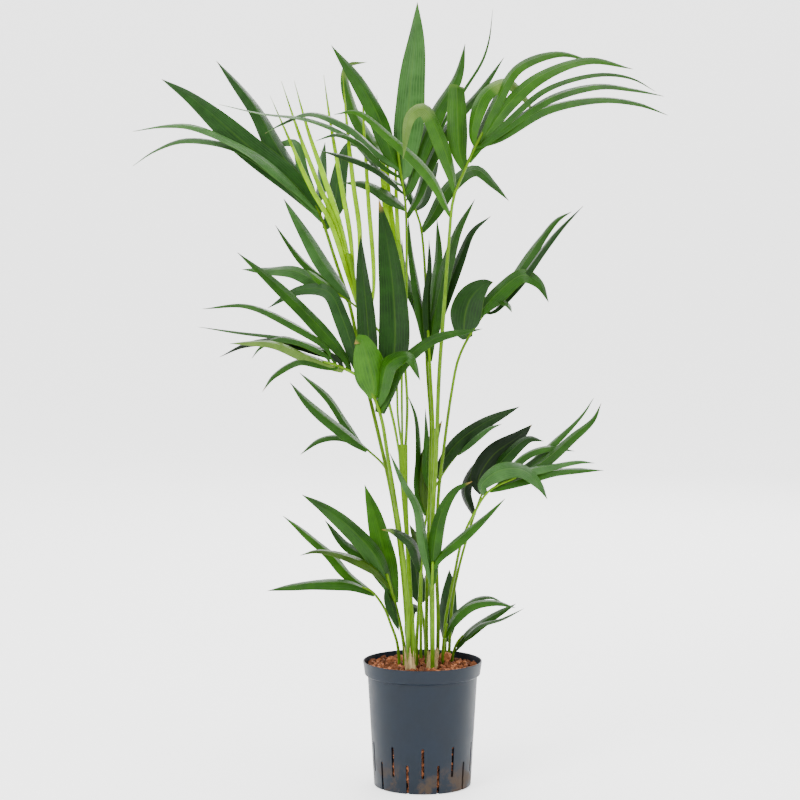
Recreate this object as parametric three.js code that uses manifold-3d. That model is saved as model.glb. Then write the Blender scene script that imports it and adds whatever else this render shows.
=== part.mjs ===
// A young kentia palm in a slotted hydroculture pot.
// Millimetres, +Z up. The origin is the middle of the pot's underside and -Y is the front.

import * as THREE from 'three';
import { ParametricGeometry } from 'three/addons/geometries/ParametricGeometry.js';
import { mergeGeometries, mergeVertices } from 'three/addons/utils/BufferGeometryUtils.js';
import Module from 'manifold-3d';

const wasm = await Module();
wasm.setup();

// ---- Driving dimensions ----

const POT_HEIGHT = 190;
const RIM_RADIUS = 90;
const RIM_BAND = 19;
const RIM_STEP = 4;
const WALL_TOP_RADIUS = 83;
const FOOT_RADIUS = 73.5;
const POT_WALL = 1.8;
const FLOOR_THICKNESS = 2.5;
const POT_SEGMENTS = 60;

const SLOTS_PER_ROW = 10;
const SLOT_WIDTH = 4;
const UPPER_SLOT = { bottom: 24, top: 70 };
const LOWER_SLOT = { bottom: -2, top: 44 };

const DRAIN_HOLES = 6;
const DRAIN_RADIUS = 4;
const DRAIN_RING_RADIUS = 45;

const CLAY_TOP = 182;
const CLAY_CROWN = 3;
// Stalks that come out of the clay start at this height inside it.
const STALK_FOOT = 150;

// Neighbouring pieces stay this far apart.
const GAP = 0.3;

// Edges shorter than this are left out of a joined solid.
const SLIVER = 0.05;

// Blades: thickness along the ridge, and how far the two halves fold down from it.
const BLADE_THICKNESS = 0.8;
const BLADE_FOLD = 0.07;
const BLADE_STEPS = 5;
const WEDGE_LAP = 0.1;
const STALK_SIDES = 6;
const STALK_STEP = 45;
const WRAP_SIDES = 16;

// Fronds are drawn as seen from the front, by an eye this far from the pot's axis and this
// high. A point's depth, counted away from that eye, moves it along its line of sight.
const EYE_DISTANCE = 4000;
const EYE_HEIGHT = 946;

const AWAY = new THREE.Vector3(0, 1, 0);

// ---- Materials ----

function finish(colour, roughness) {
  return new THREE.MeshStandardMaterial({ color: colour, roughness, metalness: 0 });
}

const potPlastic = finish(0x3e4852, 0.45);
const firedClay = finish(0x9c5433, 0.95);
const leafGreen = finish(0x2f5d1c, 0.4);
const spearGreen = finish(0xa8c828, 0.5);
const fibre = finish(0xc9a878, 0.9);

// ---- Solids ----

function closedGeometry(geometry) {
  const bare = geometry.index ? geometry.toNonIndexed() : geometry.clone();
  for (const name of Object.keys(bare.attributes)) {
    if (name !== 'position') bare.deleteAttribute(name);
  }
  return mergeVertices(bare, 1e-3);
}

function toSolid(geometry) {
  const closed = closedGeometry(geometry);
  const vertProperties = Float32Array.from(closed.attributes.position.array);
  const triVerts = Uint32Array.from(closed.index.array);
  return new wasm.Manifold(new wasm.Mesh({ numProp: 3, vertProperties, triVerts }));
}

function toGeometry(solid) {
  const mesh = solid.getMesh();
  const geometry = new THREE.BufferGeometry();
  geometry.setAttribute('position', new THREE.BufferAttribute(mesh.vertProperties, 3));
  geometry.setIndex(new THREE.BufferAttribute(mesh.triVerts, 1));
  return geometry;
}

function joined(solids) {
  return solids.reduce((whole, solid) => whole.add(solid));
}

function without(solid, cutters) {
  return cutters.reduce((rest, cutter) => rest.subtract(cutter), solid);
}

// Drops the slivers and fills the sealed pockets that can form where blades meet.
function cleaned(solid) {
  return joined(solid.simplify(SLIVER).decompose().filter((body) => body.volume() > 0));
}

// ---- Curves through drawn points ----

function place([x, z, depth]) {
  const spread = 1 + depth / EYE_DISTANCE;
  return new THREE.Vector3(x * spread, depth, EYE_HEIGHT + (z - EYE_HEIGHT) * spread);
}

// The drawn point, [x, z, depth], of a place in space.
function drawnFrom({ x, y, z }) {
  const spread = 1 + y / EYE_DISTANCE;
  return [x / spread, EYE_HEIGHT + (z - EYE_HEIGHT) / spread, y];
}

function curveThrough(points) {
  return new THREE.CatmullRomCurve3(points.map(place), false, 'centripetal');
}

// Outlines spaced along a curve. section(s) gives the outline at s, from 0 at the start to 1
// at the end, as offsets along the frame's side and normal.
function ringsAlong(curve, frameAt, section, steps) {
  const rings = [];
  for (let i = 0; i <= steps; i += 1) {
    const s = i / steps;
    const { side, normal } = frameAt(curve, s);
    const centre = curve.getPointAt(s);
    rings.push(section(s).map(([u, v]) => centre.clone()
      .addScaledVector(side, u).addScaledVector(normal, v)));
  }
  return rings;
}

// A solid along a curve that closes to a point at both ends.
function sweptSolid(curve, frameAt, section, steps, corners) {
  const rings = ringsAlong(curve, frameAt, section, steps);
  const first = curve.getPointAt(0);
  const last = curve.getPointAt(1);
  const surface = (around, along, target) => {
    const row = Math.round(along * (steps + 2));
    if (row === 0) target.copy(first);
    else if (row === steps + 2) target.copy(last);
    else target.copy(rings[row - 1][(corners - Math.round(around * corners)) % corners]);
  };
  return toSolid(new ParametricGeometry(surface, corners, steps + 2));
}

// ---- Stalks ----

function stalkFrame(curve, s) {
  const tangent = curve.getTangentAt(s);
  const side = new THREE.Vector3().crossVectors(tangent, AWAY).normalize();
  const normal = new THREE.Vector3().crossVectors(side, tangent);
  return { side, normal };
}

function roundSection(radius) {
  const outline = [];
  for (let k = 0; k < STALK_SIDES; k += 1) {
    const angle = (2 * Math.PI * k) / STALK_SIDES;
    outline.push([radius * Math.cos(angle), radius * Math.sin(angle)]);
  }
  return outline;
}

// The value at s, from 0 to 1, of a list spread evenly along a curve.
function valueAt(list, s) {
  const at = s * (list.length - 1);
  const i = Math.min(list.length - 2, Math.floor(at));
  return list[i] + (list[i + 1] - list[i]) * (at - i);
}

function stalkSteps(curve) {
  return Math.max(4, Math.round(curve.getLength() / STALK_STEP));
}

function stalkSolid({ stalk, radius }, extra = 0) {
  const curve = curveThrough(stalk);
  const section = (s) => roundSection(valueAt(radius, s) + extra);
  return sweptSolid(curve, stalkFrame, section, stalkSteps(curve), STALK_SIDES);
}

// The middle line of a stalk's solid, as drawn points.
function stalkLine({ stalk }) {
  const curve = curveThrough(stalk);
  return curve.getSpacedPoints(stalkSteps(curve)).map(drawnFrom);
}

// ---- Blades ----

// turn is the angle between the blade's upper face and the front: 0 faces the front and 90
// is edge-on, face up.
function bladeFrame(turn, sign) {
  const angle = THREE.MathUtils.degToRad(turn) * sign;
  return (curve, s) => {
    const tangent = curve.getTangentAt(s);
    const across = new THREE.Vector3().crossVectors(tangent, AWAY).normalize();
    const normal = AWAY.clone().multiplyScalar(-Math.cos(angle));
    normal.addScaledVector(across, Math.sin(angle));
    normal.addScaledVector(tangent, -normal.dot(tangent)).normalize();
    const side = new THREE.Vector3().crossVectors(tangent, normal);
    return { side, normal };
  };
}

function bladeWidth(s) {
  const swell = 0.3 + 0.7 * Math.sin((Math.PI / 2) * Math.min(1, s / 0.35));
  return swell * (1 - s ** 3);
}

// The outline across a blade: its two edges, and the ridge along its midrib.
function bladeSection(width) {
  return (s) => {
    const half = Math.max(0.5 * width * bladeWidth(s), 0.5);
    const drop = BLADE_THICKNESS + 2 * half * BLADE_FOLD;
    return [[-half, -drop], [half, -drop], [0, 0]];
  };
}

// The point of a drawn line that lies nearest to a drawn point, with its depth.
function nearestOn(line, [x, z]) {
  let best = null;
  for (let i = 1; i < line.length; i += 1) {
    const [ax, az, ad] = line[i - 1];
    const [bx, bz, bd] = line[i];
    const length = (bx - ax) ** 2 + (bz - az) ** 2;
    const along = ((x - ax) * (bx - ax) + (z - az) * (bz - az)) / length;
    const t = Math.min(1, Math.max(0, along));
    const point = [ax + t * (bx - ax), az + t * (bz - az), ad + t * (bd - ad)];
    const distance = Math.hypot(point[0] - x, point[1] - z);
    if (!best || distance < best.distance) best = { point, distance };
  }
  return best.point;
}

// The convex solid between two outlines. It starts WEDGE_LAP early, inside the wedge before it.
function wedge(from, to) {
  const back = from[0].clone().sub(to[0]).setLength(WEDGE_LAP);
  const start = from.map((point) => point.clone().add(back));
  return wasm.Manifold.hull([...start, ...to].map((point) => point.toArray()));
}

// A blade is [width, turn, reach, points]. It grows from the nearest point of the stalk, and
// its tip is `reach` deeper than its start. It is a row of convex wedges, which a sharp bend
// can't turn inside out.
function bladeSolid(line, [width, turn, reach, points]) {
  const start = nearestOn(line, points[0]);
  const run = [start, ...points];
  const lengths = [0];
  for (let i = 1; i < run.length; i += 1) {
    lengths.push(lengths[i - 1] + Math.hypot(run[i][0] - run[i - 1][0], run[i][1] - run[i - 1][1]));
  }
  const total = lengths[lengths.length - 1];
  const drawn = run.map(([x, z], i) => [x, z, start[2] + (reach * lengths[i]) / total]);
  const tip = points[points.length - 1];
  const sign = tip[0] < start[0] ? -1 : 1;
  const curve = curveThrough(drawn);
  const rings = ringsAlong(curve, bladeFrame(turn, sign), bladeSection(width), BLADE_STEPS);
  return joined(rings.slice(1).map((ring, i) => wedge(rings[i], ring)));
}

function frondSolid(frond) {
  const line = stalkLine(frond);
  const blades = frond.blades.map((blade) => bladeSolid(line, blade));
  return cleaned(joined([...blades, stalkSolid(frond)]));
}

// ---- The fronds ----
// stalk points are [x, z, depth], from the foot up. radius is at the foot and at the top.

const FRONDS = {
  frond_high_left: {
    stalk: [[-21, 150, -32.5], [-23, 215, -31], [-26, 270, -26], [-32, 340, -16],
      [-41, 410, -4], [-51, 465, 8], [-70, 550, 26], [-90, 635, 46], [-108, 725, 66],
      [-130, 795, 84], [-155, 868, 102], [-172, 892, 106]],
    radius: [2.9, 3, 2.8, 2.4],
    blades: [
      [38, 20, -25, [[-195, 912], [-260, 965], [-345, 1037], [-387, 1063]]],
      [30, 35, 40, [[-190, 922], [-220, 970], [-250, 1025], [-305, 1090]]],
      [22, 62, -75, [[-200, 912], [-260, 958], [-340, 993], [-385, 994], [-431, 986]]],
      [22, 60, -45, [[-215, 925], [-280, 964], [-355, 974], [-400, 957], [-431, 935]]],
      [18, 30, 60, [[-175, 920], [-189, 968], [-212, 967], [-232, 962]]],
      [17, 30, 75, [[-152, 905], [-149, 945], [-144, 970]]],
      [27, 20, 80, [[-130, 877], [-126, 912], [-108, 968], [-96, 962]]],
    ],
  },
  spear_left: {
    stalk: [[-34, 500, 22], [-43, 550, 16], [-60, 615, 9], [-78, 670, 3], [-97, 728, -2],
      [-103, 765, -4], [-112, 805, -6]],
    radius: [1.8, 3.6],
    blades: [
      [11, 40, -14, [[-134, 850], [-165, 905], [-195, 970], [-227, 1039]]],
      [10, 35, -4, [[-128, 850], [-152, 905], [-180, 975], [-210, 1060]]],
      [12, 35, 6, [[-122, 850], [-143, 915], [-168, 985], [-191, 1061]]],
      [9, 30, 12, [[-107, 835], [-122, 920], [-138, 1010], [-147, 1069]]],
      [9, 30, 18, [[-92, 830], [-102, 910], [-112, 1000], [-119, 1072]]],
      [8, 30, 24, [[-72, 750], [-80, 890], [-87, 1000], [-90, 1069]]],
    ],
  },
  spear_centre: {
    stalk: [[-30, 500, 27], [-31, 600, 36], [-30, 700, 42], [-30, 790, 44], [-38, 825, 44]],
    radius: [1.6, 2.6],
    blades: [
      [13, 30, 0, [[-50, 860], [-56, 920], [-62, 990], [-68, 1040]]],
      [10, 30, 10, [[-44, 860], [-50, 920], [-50, 990]]],
      [8, 30, -8, [[-35, 840], [-38, 900], [-40, 970]]],
    ],
  },
  frond_top_centre: {
    stalk: [[-26.5, 500, 24], [-24, 540, 20], [-23, 580, 18], [-27, 660, 14], [-25, 700, 12],
      [-24, 800, 8], [-26, 880, 8], [-33, 925, 10], [-38, 965, 12]],
    radius: [2.2, 1.8],
    blades: [
      [40, 12, 25, [[-29, 918], [-25, 970], [-19, 1050], [-11, 1130], [-8, 1176]]],
      [26, 30, 70, [[-20, 905], [-5, 960], [20, 1015], [50, 1065], [63, 1115]]],
      [20, 40, 110, [[-8, 890], [10, 940], [40, 995], [85, 1045], [121, 1095]]],
      [20, 70, -70, [[-58, 922], [-105, 975], [-165, 1003], [-240, 1013], [-303, 1026]]],
      [20, 60, -50, [[-75, 962], [-110, 993], [-170, 1013], [-210, 998], [-235, 983]]],
      [16, 60, -90, [[-60, 937], [-95, 970], [-130, 982], [-160, 972]]],
      [16, 55, -100, [[-55, 920], [-90, 940], [-130, 952], [-155, 958]]],
      [18, 30, 60, [[-60, 895], [-85, 908], [-117, 910]]],
      [26, 22, -35, [[-42, 940], [-65, 1005], [-92, 1055], [-136, 1113]]],
      [21, 38, 70, [[-59, 950], [-103, 1020], [-112, 1080], [-83, 1088]]],
      [7, 40, 90, [[-15, 900], [8, 955], [38, 1013], [64, 1052], [88, 1090], [98, 1120], [104, 1165]]],
    ],
  },
  frond_centre_back: {
    stalk: [[7, 150, -12], [6, 250, 4], [8, 350, 20], [12, 480, 44], [13, 545, 58],
      [7, 640, 82], [6, 720, 104], [3, 800, 128], [-3, 850, 144], [-14, 880, 152]],
    radius: [2.9, 2.6, 1.8],
    blades: [
      [24, 35, 70, [[15, 860], [42, 905], [80, 929], [108, 907], [130, 883]]],
      [20, 40, 60, [[0, 880], [12, 915], [25, 942]]],
      [16, 50, 30, [[-16, 890], [-26, 910], [-36, 928]]],
    ],
  },
  frond_centre_fan: {
    stalk: [[15, 150, -12], [13, 300, 2], [14, 420, 14], [16, 540, 28], [12, 620, 42],
      [8, 690, 52]],
    radius: [2.9, 2.6, 2.2],
    blades: [
      [18, 45, 60, [[-5, 720], [-18, 750], [-28, 790], [-30, 825]]],
      [16, 40, 40, [[-5, 740], [-15, 800], [-21, 860]]],
      [15, 45, 26, [[8, 740], [12, 780], [10, 825]]],
      [20, 40, 60, [[15, 740], [23, 800], [22, 855]]],
      [22, 35, 44, [[20, 720], [48, 830], [78, 885]]],
      [20, 40, 70, [[25, 715], [55, 795], [75, 838], [102, 860]]],
    ],
  },
  frond_high_right: {
    stalk: [[16, 150, -19.5], [15, 300, -23], [15, 400, -28], [20, 500, -38], [24, 620, -56],
      [31, 720, -74], [38, 820, -92], [45, 888, -104], [60, 925, -108], [78, 965, -110],
      [88, 985, -112]],
    radius: [3.1, 3.2, 2.8, 1.8],
    blades: [
      [18, 40, -70, [[10, 920], [-50, 978], [-100, 1015], [-133, 1011]]],
      [22, 30, -50, [[42, 925], [25, 975], [0, 1020], [-20, 1010], [-31, 945]]],
      [27, 15, 43, [[54, 955], [51, 1010], [50, 1055], [50, 1010]]],
      [22, 35, 55, [[72, 980], [90, 1040], [125, 1058], [155, 1030], [163, 1012]]],
      [20, 45, 54, [[108, 1030], [140, 1080], [200, 1101], [252, 1089]]],
      [22, 40, 26, [[125, 1025], [175, 1068], [245, 1091], [311, 1078]]],
      [18, 65, -24, [[120, 1000], [180, 1050], [260, 1072], [310, 1065], [344, 1045]]],
      [20, 60, -50, [[120, 990], [190, 1036], [260, 1054], [310, 1048], [356, 1038]]],
      [20, 58, -80, [[110, 975], [180, 1020], [260, 1035], [320, 1027], [362, 1010]]],
    ],
  },
  frond_right_mid: {
    stalk: [[22, 150, 40], [24, 250, 38], [21, 350, 34], [24, 440, 28], [32, 512, 20],
      [44, 600, 14], [54, 648, 14], [75, 690, 12], [115, 745, 8], [130, 765, 6]],
    radius: [3.2, 1.8],
    blades: [
      [42, 12, -25, [[62, 690], [70, 735], [92, 758], [105, 762]]],
      [26, 35, -45, [[85, 712], [115, 748], [150, 772], [174, 760], [188, 732]]],
      [20, 50, 30, [[148, 785], [175, 825], [200, 855], [222, 867]]],
      [18, 58, -60, [[105, 718], [145, 765], [200, 838], [238, 875]]],
      [10, 30, -50, [[112, 736], [127, 728], [133, 717]]],
    ],
  },
  frond_left_front: {
    stalk: [[-21, 150, -39.5], [-22, 215, -40], [-22, 260, -42], [-25, 300, -44],
      [-34, 380, -48], [-43, 440, -54], [-53, 500, -62], [-62, 555, -70], [-72, 585, -76],
      [-90, 615, -86], [-130, 637, -110], [-150, 643, -120]],
    radius: [2.9, 3.2, 2.8, 2],
    blades: [
      [42, 12, -50, [[-74, 605], [-84, 650], [-94, 676], [-103, 669]]],
      [26, 35, -70, [[-64, 595], [-52, 640], [-22, 650], [-5, 615]]],
      [18, 35, -40, [[-55, 590], [-35, 635], [15, 676], [88, 692]]],
      [18, 54, -70, [[-118, 630], [-170, 650], [-230, 671], [-290, 670]]],
      [18, 62, -60, [[-132, 634], [-185, 645], [-225, 622], [-242, 598]]],
      [20, 55, -30, [[-128, 648], [-215, 676], [-270, 668], [-305, 650]]],
      [16, 62, -20, [[-143, 650], [-170, 667], [-215, 678], [-245, 664], [-257, 648]]],
      [14, 70, 0, [[-135, 648], [-158, 664], [-200, 678], [-280, 688], [-336, 695]]],
      [18, 62, 20, [[-146, 666], [-200, 702], [-265, 728], [-330, 722]]],
      [22, 40, 30, [[-115, 645], [-165, 705], [-225, 763], [-277, 806]]],
      [22, 25, 60, [[-98, 635], [-120, 705], [-142, 748], [-185, 750], [-232, 723]]],
      [27, 20, 30, [[-80, 650], [-84, 710], [-91, 790], [-93, 832]]],
      [40, 10, 20, [[-55, 600], [-43, 660], [-44, 740], [-55, 830], [-66, 886]]],
    ],
  },
  frond_left_mid: {
    stalk: [[-29, 500, 18], [-37, 560, 10], [-40, 620, 2], [-52, 665, -4], [-85, 712, -12],
      [-125, 743, -16], [-140, 750, -18]],
    radius: [1.8, 1.6],
    blades: [
      [24, 42, 40, [[-115, 745], [-145, 785], [-175, 835], [-207, 886]]],
      [14, 55, 20, [[-145, 765], [-180, 795], [-220, 847]]],
      [22, 40, -20, [[-150, 756], [-190, 778], [-230, 780], [-270, 781]]],
      [12, 35, -50, [[-140, 755], [-158, 768], [-173, 780]]],
    ],
  },
  frond_left_low_mid: {
    stalk: [[-11, 150, 46], [-15, 260, 50], [-25, 330, 56], [-38, 420, 70], [-55, 482, 84],
      [-80, 508, 94], [-108, 530, 104]],
    radius: [2.8, 1.6],
    blades: [
      [16, 50, 40, [[-115, 550], [-140, 588], [-183, 626]]],
      [20, 45, -40, [[-80, 508], [-125, 543], [-170, 580], [-198, 611]]],
      [14, 60, 0, [[-125, 530], [-155, 525], [-183, 503]]],
    ],
  },
  frond_centre_low: {
    stalk: [[-2, 150, 42], [-2, 260, 46], [0, 350, 54], [5, 400, 60], [14, 440, 68],
      [34, 478, 80], [60, 512, 92]],
    radius: [2.6, 1.4],
    blades: [
      [22, 25, 30, [[24, 475], [48, 515], [90, 548], [146, 575]]],
      [14, 60, -30, [[72, 522], [100, 543], [119, 549]]],
      [26, 20, 50, [[1, 430], [4, 480], [16, 525], [30, 554]]],
      [14, 50, 70, [[-5, 440], [-3, 500], [-8, 560], [-22, 594]]],
      [12, 45, 30, [[7, 470], [8, 530], [5, 572]]],
    ],
  },
  frond_right_low_front: {
    stalk: [[29, 150, 32], [35, 250, 18], [42, 290, 10], [48, 320, 2], [60, 375, -14],
      [78, 415, -28], [100, 448, -44], [140, 468, -62]],
    radius: [2.9, 1.6],
    blades: [
      [24, 30, -60, [[88, 455], [115, 478], [150, 479], [175, 457], [187, 435]]],
      [18, 62, -10, [[140, 472], [200, 488], [235, 493], [258, 490]]],
      [20, 52, -50, [[180, 475], [230, 480], [271, 479]]],
      [18, 65, 20, [[165, 495], [210, 535], [240, 565], [256, 588]]],
      [20, 50, -20, [[175, 488], [225, 530], [255, 556], [267, 580]]],
      [16, 55, 10, [[150, 500], [190, 514], [228, 508]]],
    ],
  },
  frond_right_low_back: {
    stalk: [[39, 150, 41], [45, 275, 46], [55, 330, 50], [70, 385, 54], [82, 422, 58],
      [95, 455, 64], [112, 486, 72]],
    radius: [2.7, 1.6],
    blades: [
      [17, 30, 34, [[64, 446], [78, 482], [108, 509]]],
      [31, 14, 26, [[84, 462], [105, 500], [145, 530], [165, 548]]],
      [20, 40, -10, [[103, 470], [128, 502], [160, 527], [182, 523]]],
    ],
  },
  frond_front_low: {
    stalk: [[15, 150, -27.5], [15, 250, -40], [14, 300, -48], [15, 340, -56]],
    radius: [3.1, 2.9, 2],
    blades: [
      [18, 50, -50, [[25, 348], [55, 375], [100, 415], [123, 436]]],
      [18, 45, -30, [[2, 370], [-8, 425], [-28, 460], [-50, 505]]],
      [20, 25, -15, [[18, 372], [30, 420], [50, 450], [74, 462]]],
    ],
  },
  frond_front_low_left: {
    stalk: [[-8, 150, 4], [-9, 210, -4], [-7, 250, -10], [-4, 300, -20], [-2, 348, -30]],
    radius: [2.9, 2.0],
    blades: [
      [18, 35, -80, [[-15, 366], [-45, 387], [-62, 389]]],
      [14, 35, -20, [[-8, 370], [-20, 397]]],
    ],
  },
  frond_left_low: {
    stalk: [[-27, 150, 3], [-28, 210, -4], [-35, 250, -12], [-45, 290, -20], [-54, 322, -26]],
    radius: [2.9, 2.2],
    blades: [
      [26, 25, -40, [[-70, 347], [-110, 392], [-150, 423], [-182, 442]]],
      [30, 15, 20, [[-59, 360], [-70, 405], [-87, 457]]],
      [20, 40, 0, [[-80, 343], [-115, 365], [-147, 403]]],
      [18, 58, -70, [[-75, 330], [-120, 350], [-160, 357], [-185, 350]]],
      [15, 35, -20, [[-52, 295], [-44, 262], [-36, 235]]],
    ],
  },
  frond_left_lowest: {
    stalk: [[-33, 150, 13], [-38, 215, 10], [-48, 245, 6], [-58, 270, 2], [-78, 296, -2],
      [-92, 301, -4]],
    radius: [2.5, 1.8],
    blades: [
      [20, 50, -40, [[-110, 307], [-160, 308], [-200, 303], [-234, 296]]],
      [18, 48, 30, [[-108, 318], [-140, 353], [-185, 391], [-210, 410]]],
    ],
  },
  frond_right_lowest: {
    stalk: [[45, 150, 43], [46, 195, 42], [52, 215, 40], [62, 228, 38]],
    radius: [2.4, 1.8],
    blades: [
      [18, 55, -20, [[80, 240], [115, 262], [141, 276]]],
      [12, 68, -50, [[85, 242], [120, 253], [153, 269]]],
    ],
  },
  frond_right_low_small: {
    stalk: [[29, 150, 22], [32, 215, 10], [37, 246, 2]],
    radius: [2.4, 1.8],
    blades: [
      [18, 55, -40, [[50, 256], [75, 275], [110, 279], [140, 270]]],
      [13, 65, -10, [[50, 260], [80, 283], [105, 286], [125, 275]]],
    ],
  },
  frond_right_inner: {
    stalk: [[34, 150, 52], [35, 200, 54], [36, 240, 56]],
    radius: [2.4, 1.8],
    blades: [
      [26, 20, 10, [[37, 265], [40, 300], [41, 328]]],
    ],
  },
  frond_low_back: {
    stalk: [[5, 150, 62], [4, 230, 70], [-4, 290, 82]],
    radius: [2.6, 2.0],
    blades: [
      [26, 20, 20, [[-6, 300], [-10, 330], [-16, 360]]],
      [22, 35, 60, [[4, 300], [14, 330], [26, 350]]],
      [18, 45, -10, [[-16, 270], [-22, 240], [-24, 215]]],
    ],
  },
};

const planted = Object.values(FRONDS).filter(({ stalk }) => stalk[0][1] === STALK_FOOT);

// ---- Stem and fibre ----

// The sheathed stem of the left plant. Two spears and two fronds grow out of its open top.
const STEM = {
  stalk: [[-14, 150, -36], [-15, 215, -35], [-17, 250, -31], [-20, 310, -21], [-23, 370, -8],
    [-27, 440, 8], [-29, 490, 20], [-30, 518, 22.5]],
  radius: [4, 4, 3.8, 3.6, 3.4, 4, 6, 7.6],
};

// Torn brown fibre left by old leaf sheaths, wrapped round the feet of the stalks inside.
const FIBRE_WRAPS = {
  fibre_left: { centre: [-17.7, -36], radius: 9.2, top: 214, tilt: 24,
    inside: [STEM, FRONDS.frond_high_left, FRONDS.frond_left_front] },
  fibre_centre: { centre: [13.6, -19.5], radius: 9.4, top: 212, tilt: -22,
    inside: [FRONDS.frond_high_right, FRONDS.frond_front_low, FRONDS.frond_centre_fan] },
};
const WRAP_BOTTOM = 176;

function stemSolid() {
  const grown = Object.values(FRONDS).filter((frond) => !planted.includes(frond));
  return without(stalkSolid(STEM), grown.map((frond) => stalkSolid(frond, GAP)));
}

function wrapSolid({ centre, radius, top, tilt, inside }) {
  const height = top - WRAP_BOTTOM;
  const tube = new THREE.CylinderGeometry(radius * 0.94, radius, height, WRAP_SIDES);
  tube.rotateX(Math.PI / 2);
  tube.translate(centre[0], centre[1], WRAP_BOTTOM + height / 2);
  const torn = new THREE.BoxGeometry(4 * radius, 4 * radius, height);
  torn.translate(0, 0, height / 2);
  torn.rotateY(THREE.MathUtils.degToRad(tilt));
  torn.translate(centre[0], centre[1], top - radius / 2);
  return without(toSolid(tube), [toSolid(torn), ...inside.map((each) => stalkSolid(each, GAP))]);
}

// ---- Pot ----

function potRadius(z) {
  return FOOT_RADIUS + ((WALL_TOP_RADIUS - FOOT_RADIUS) * z) / (POT_HEIGHT - RIM_BAND - RIM_STEP);
}

function slotCutter(radius, bottom, top, angle) {
  const depth = 16;
  const box = new THREE.BoxGeometry(SLOT_WIDTH, depth, top - bottom);
  box.translate(0, -radius, (bottom + top) / 2);
  box.rotateZ(angle);
  return toSolid(box);
}

function slotRow({ bottom, top }, shift) {
  const radius = potRadius((bottom + top) / 2);
  const cutters = [];
  for (let k = 0; k < SLOTS_PER_ROW; k += 1) {
    cutters.push(slotCutter(radius, bottom, top, (2 * Math.PI * (k + shift)) / SLOTS_PER_ROW));
  }
  return cutters;
}

function drainHoles() {
  const cutters = [];
  for (let k = 0; k < DRAIN_HOLES; k += 1) {
    const hole = new THREE.CylinderGeometry(DRAIN_RADIUS, DRAIN_RADIUS, 20, 12);
    hole.rotateX(Math.PI / 2);
    hole.translate(DRAIN_RING_RADIUS, 0, 0);
    hole.rotateZ((2 * Math.PI * k) / DRAIN_HOLES);
    cutters.push(toSolid(hole));
  }
  return cutters;
}

function potSolid() {
  const bandBottom = POT_HEIGHT - RIM_BAND;
  const stepBottom = bandBottom - RIM_STEP;
  const outer = [[0, 0], [FOOT_RADIUS, 0], [WALL_TOP_RADIUS, stepBottom],
    [RIM_RADIUS - 2.5, bandBottom], [RIM_RADIUS, POT_HEIGHT]];
  const inner = [[RIM_RADIUS - POT_WALL, POT_HEIGHT], [RIM_RADIUS - 2.5 - POT_WALL, bandBottom],
    [WALL_TOP_RADIUS - POT_WALL, stepBottom], [FOOT_RADIUS - POT_WALL, FLOOR_THICKNESS],
    [0, FLOOR_THICKNESS]];
  const profile = [...outer, ...inner].map(([r, z]) => new THREE.Vector2(r, z));
  const turned = new THREE.LatheGeometry(profile, POT_SEGMENTS);
  turned.rotateX(Math.PI / 2);
  const cutters = [...slotRow(UPPER_SLOT, 0), ...slotRow(LOWER_SLOT, 0.5), ...drainHoles()];
  return without(toSolid(turned), cutters);
}

// ---- Clay ----

function claySolid(fronds) {
  const bandBottom = POT_HEIGHT - RIM_BAND;
  const stepBottom = bandBottom - RIM_STEP;
  const inset = POT_WALL + GAP;
  const profile = [[0, FLOOR_THICKNESS + GAP], [FOOT_RADIUS - inset - GAP, FLOOR_THICKNESS + GAP],
    [WALL_TOP_RADIUS - inset, stepBottom], [RIM_RADIUS - 2.5 - inset, bandBottom],
    [RIM_RADIUS - 2.5 - inset, CLAY_TOP - CLAY_CROWN], [RIM_RADIUS / 2, CLAY_TOP], [0, CLAY_TOP]];
  const turned = new THREE.LatheGeometry(profile.map(([r, z]) => new THREE.Vector2(r, z)),
    POT_SEGMENTS);
  turned.rotateX(Math.PI / 2);
  const holes = fronds.map((frond) => stalkSolid(frond, 2 * GAP));
  for (const { centre, radius } of Object.values(FIBRE_WRAPS)) {
    const pit = new THREE.CylinderGeometry(radius + GAP, radius + GAP, 20, WRAP_SIDES);
    pit.rotateX(Math.PI / 2);
    pit.translate(centre[0], centre[1], WRAP_BOTTOM - GAP + 10);
    holes.push(toSolid(pit));
  }
  return without(toSolid(turned), holes);
}

// ---- The palm ----

const palm = new THREE.Group();

function addPiece(name, solid, material) {
  const mesh = new THREE.Mesh(toGeometry(solid), material);
  mesh.name = name;
  palm.add(mesh);
}

addPiece('pot', potSolid(), potPlastic);
addPiece('clay_granules', claySolid([...planted, STEM]), firedClay);
addPiece('stem_left', stemSolid(), leafGreen);
for (const [name, wrap] of Object.entries(FIBRE_WRAPS)) addPiece(name, wrapSolid(wrap), fibre);
for (const [name, frond] of Object.entries(FRONDS)) {
  addPiece(name, frondSolid(frond), name.startsWith('spear') ? spearGreen : leafGreen);
}

export default palm;
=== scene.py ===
"""A young kentia palm in a slotted hydroculture pot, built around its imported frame."""

import math
import random

import bmesh
import bpy
from mathutils import Euler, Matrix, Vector, noise


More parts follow.
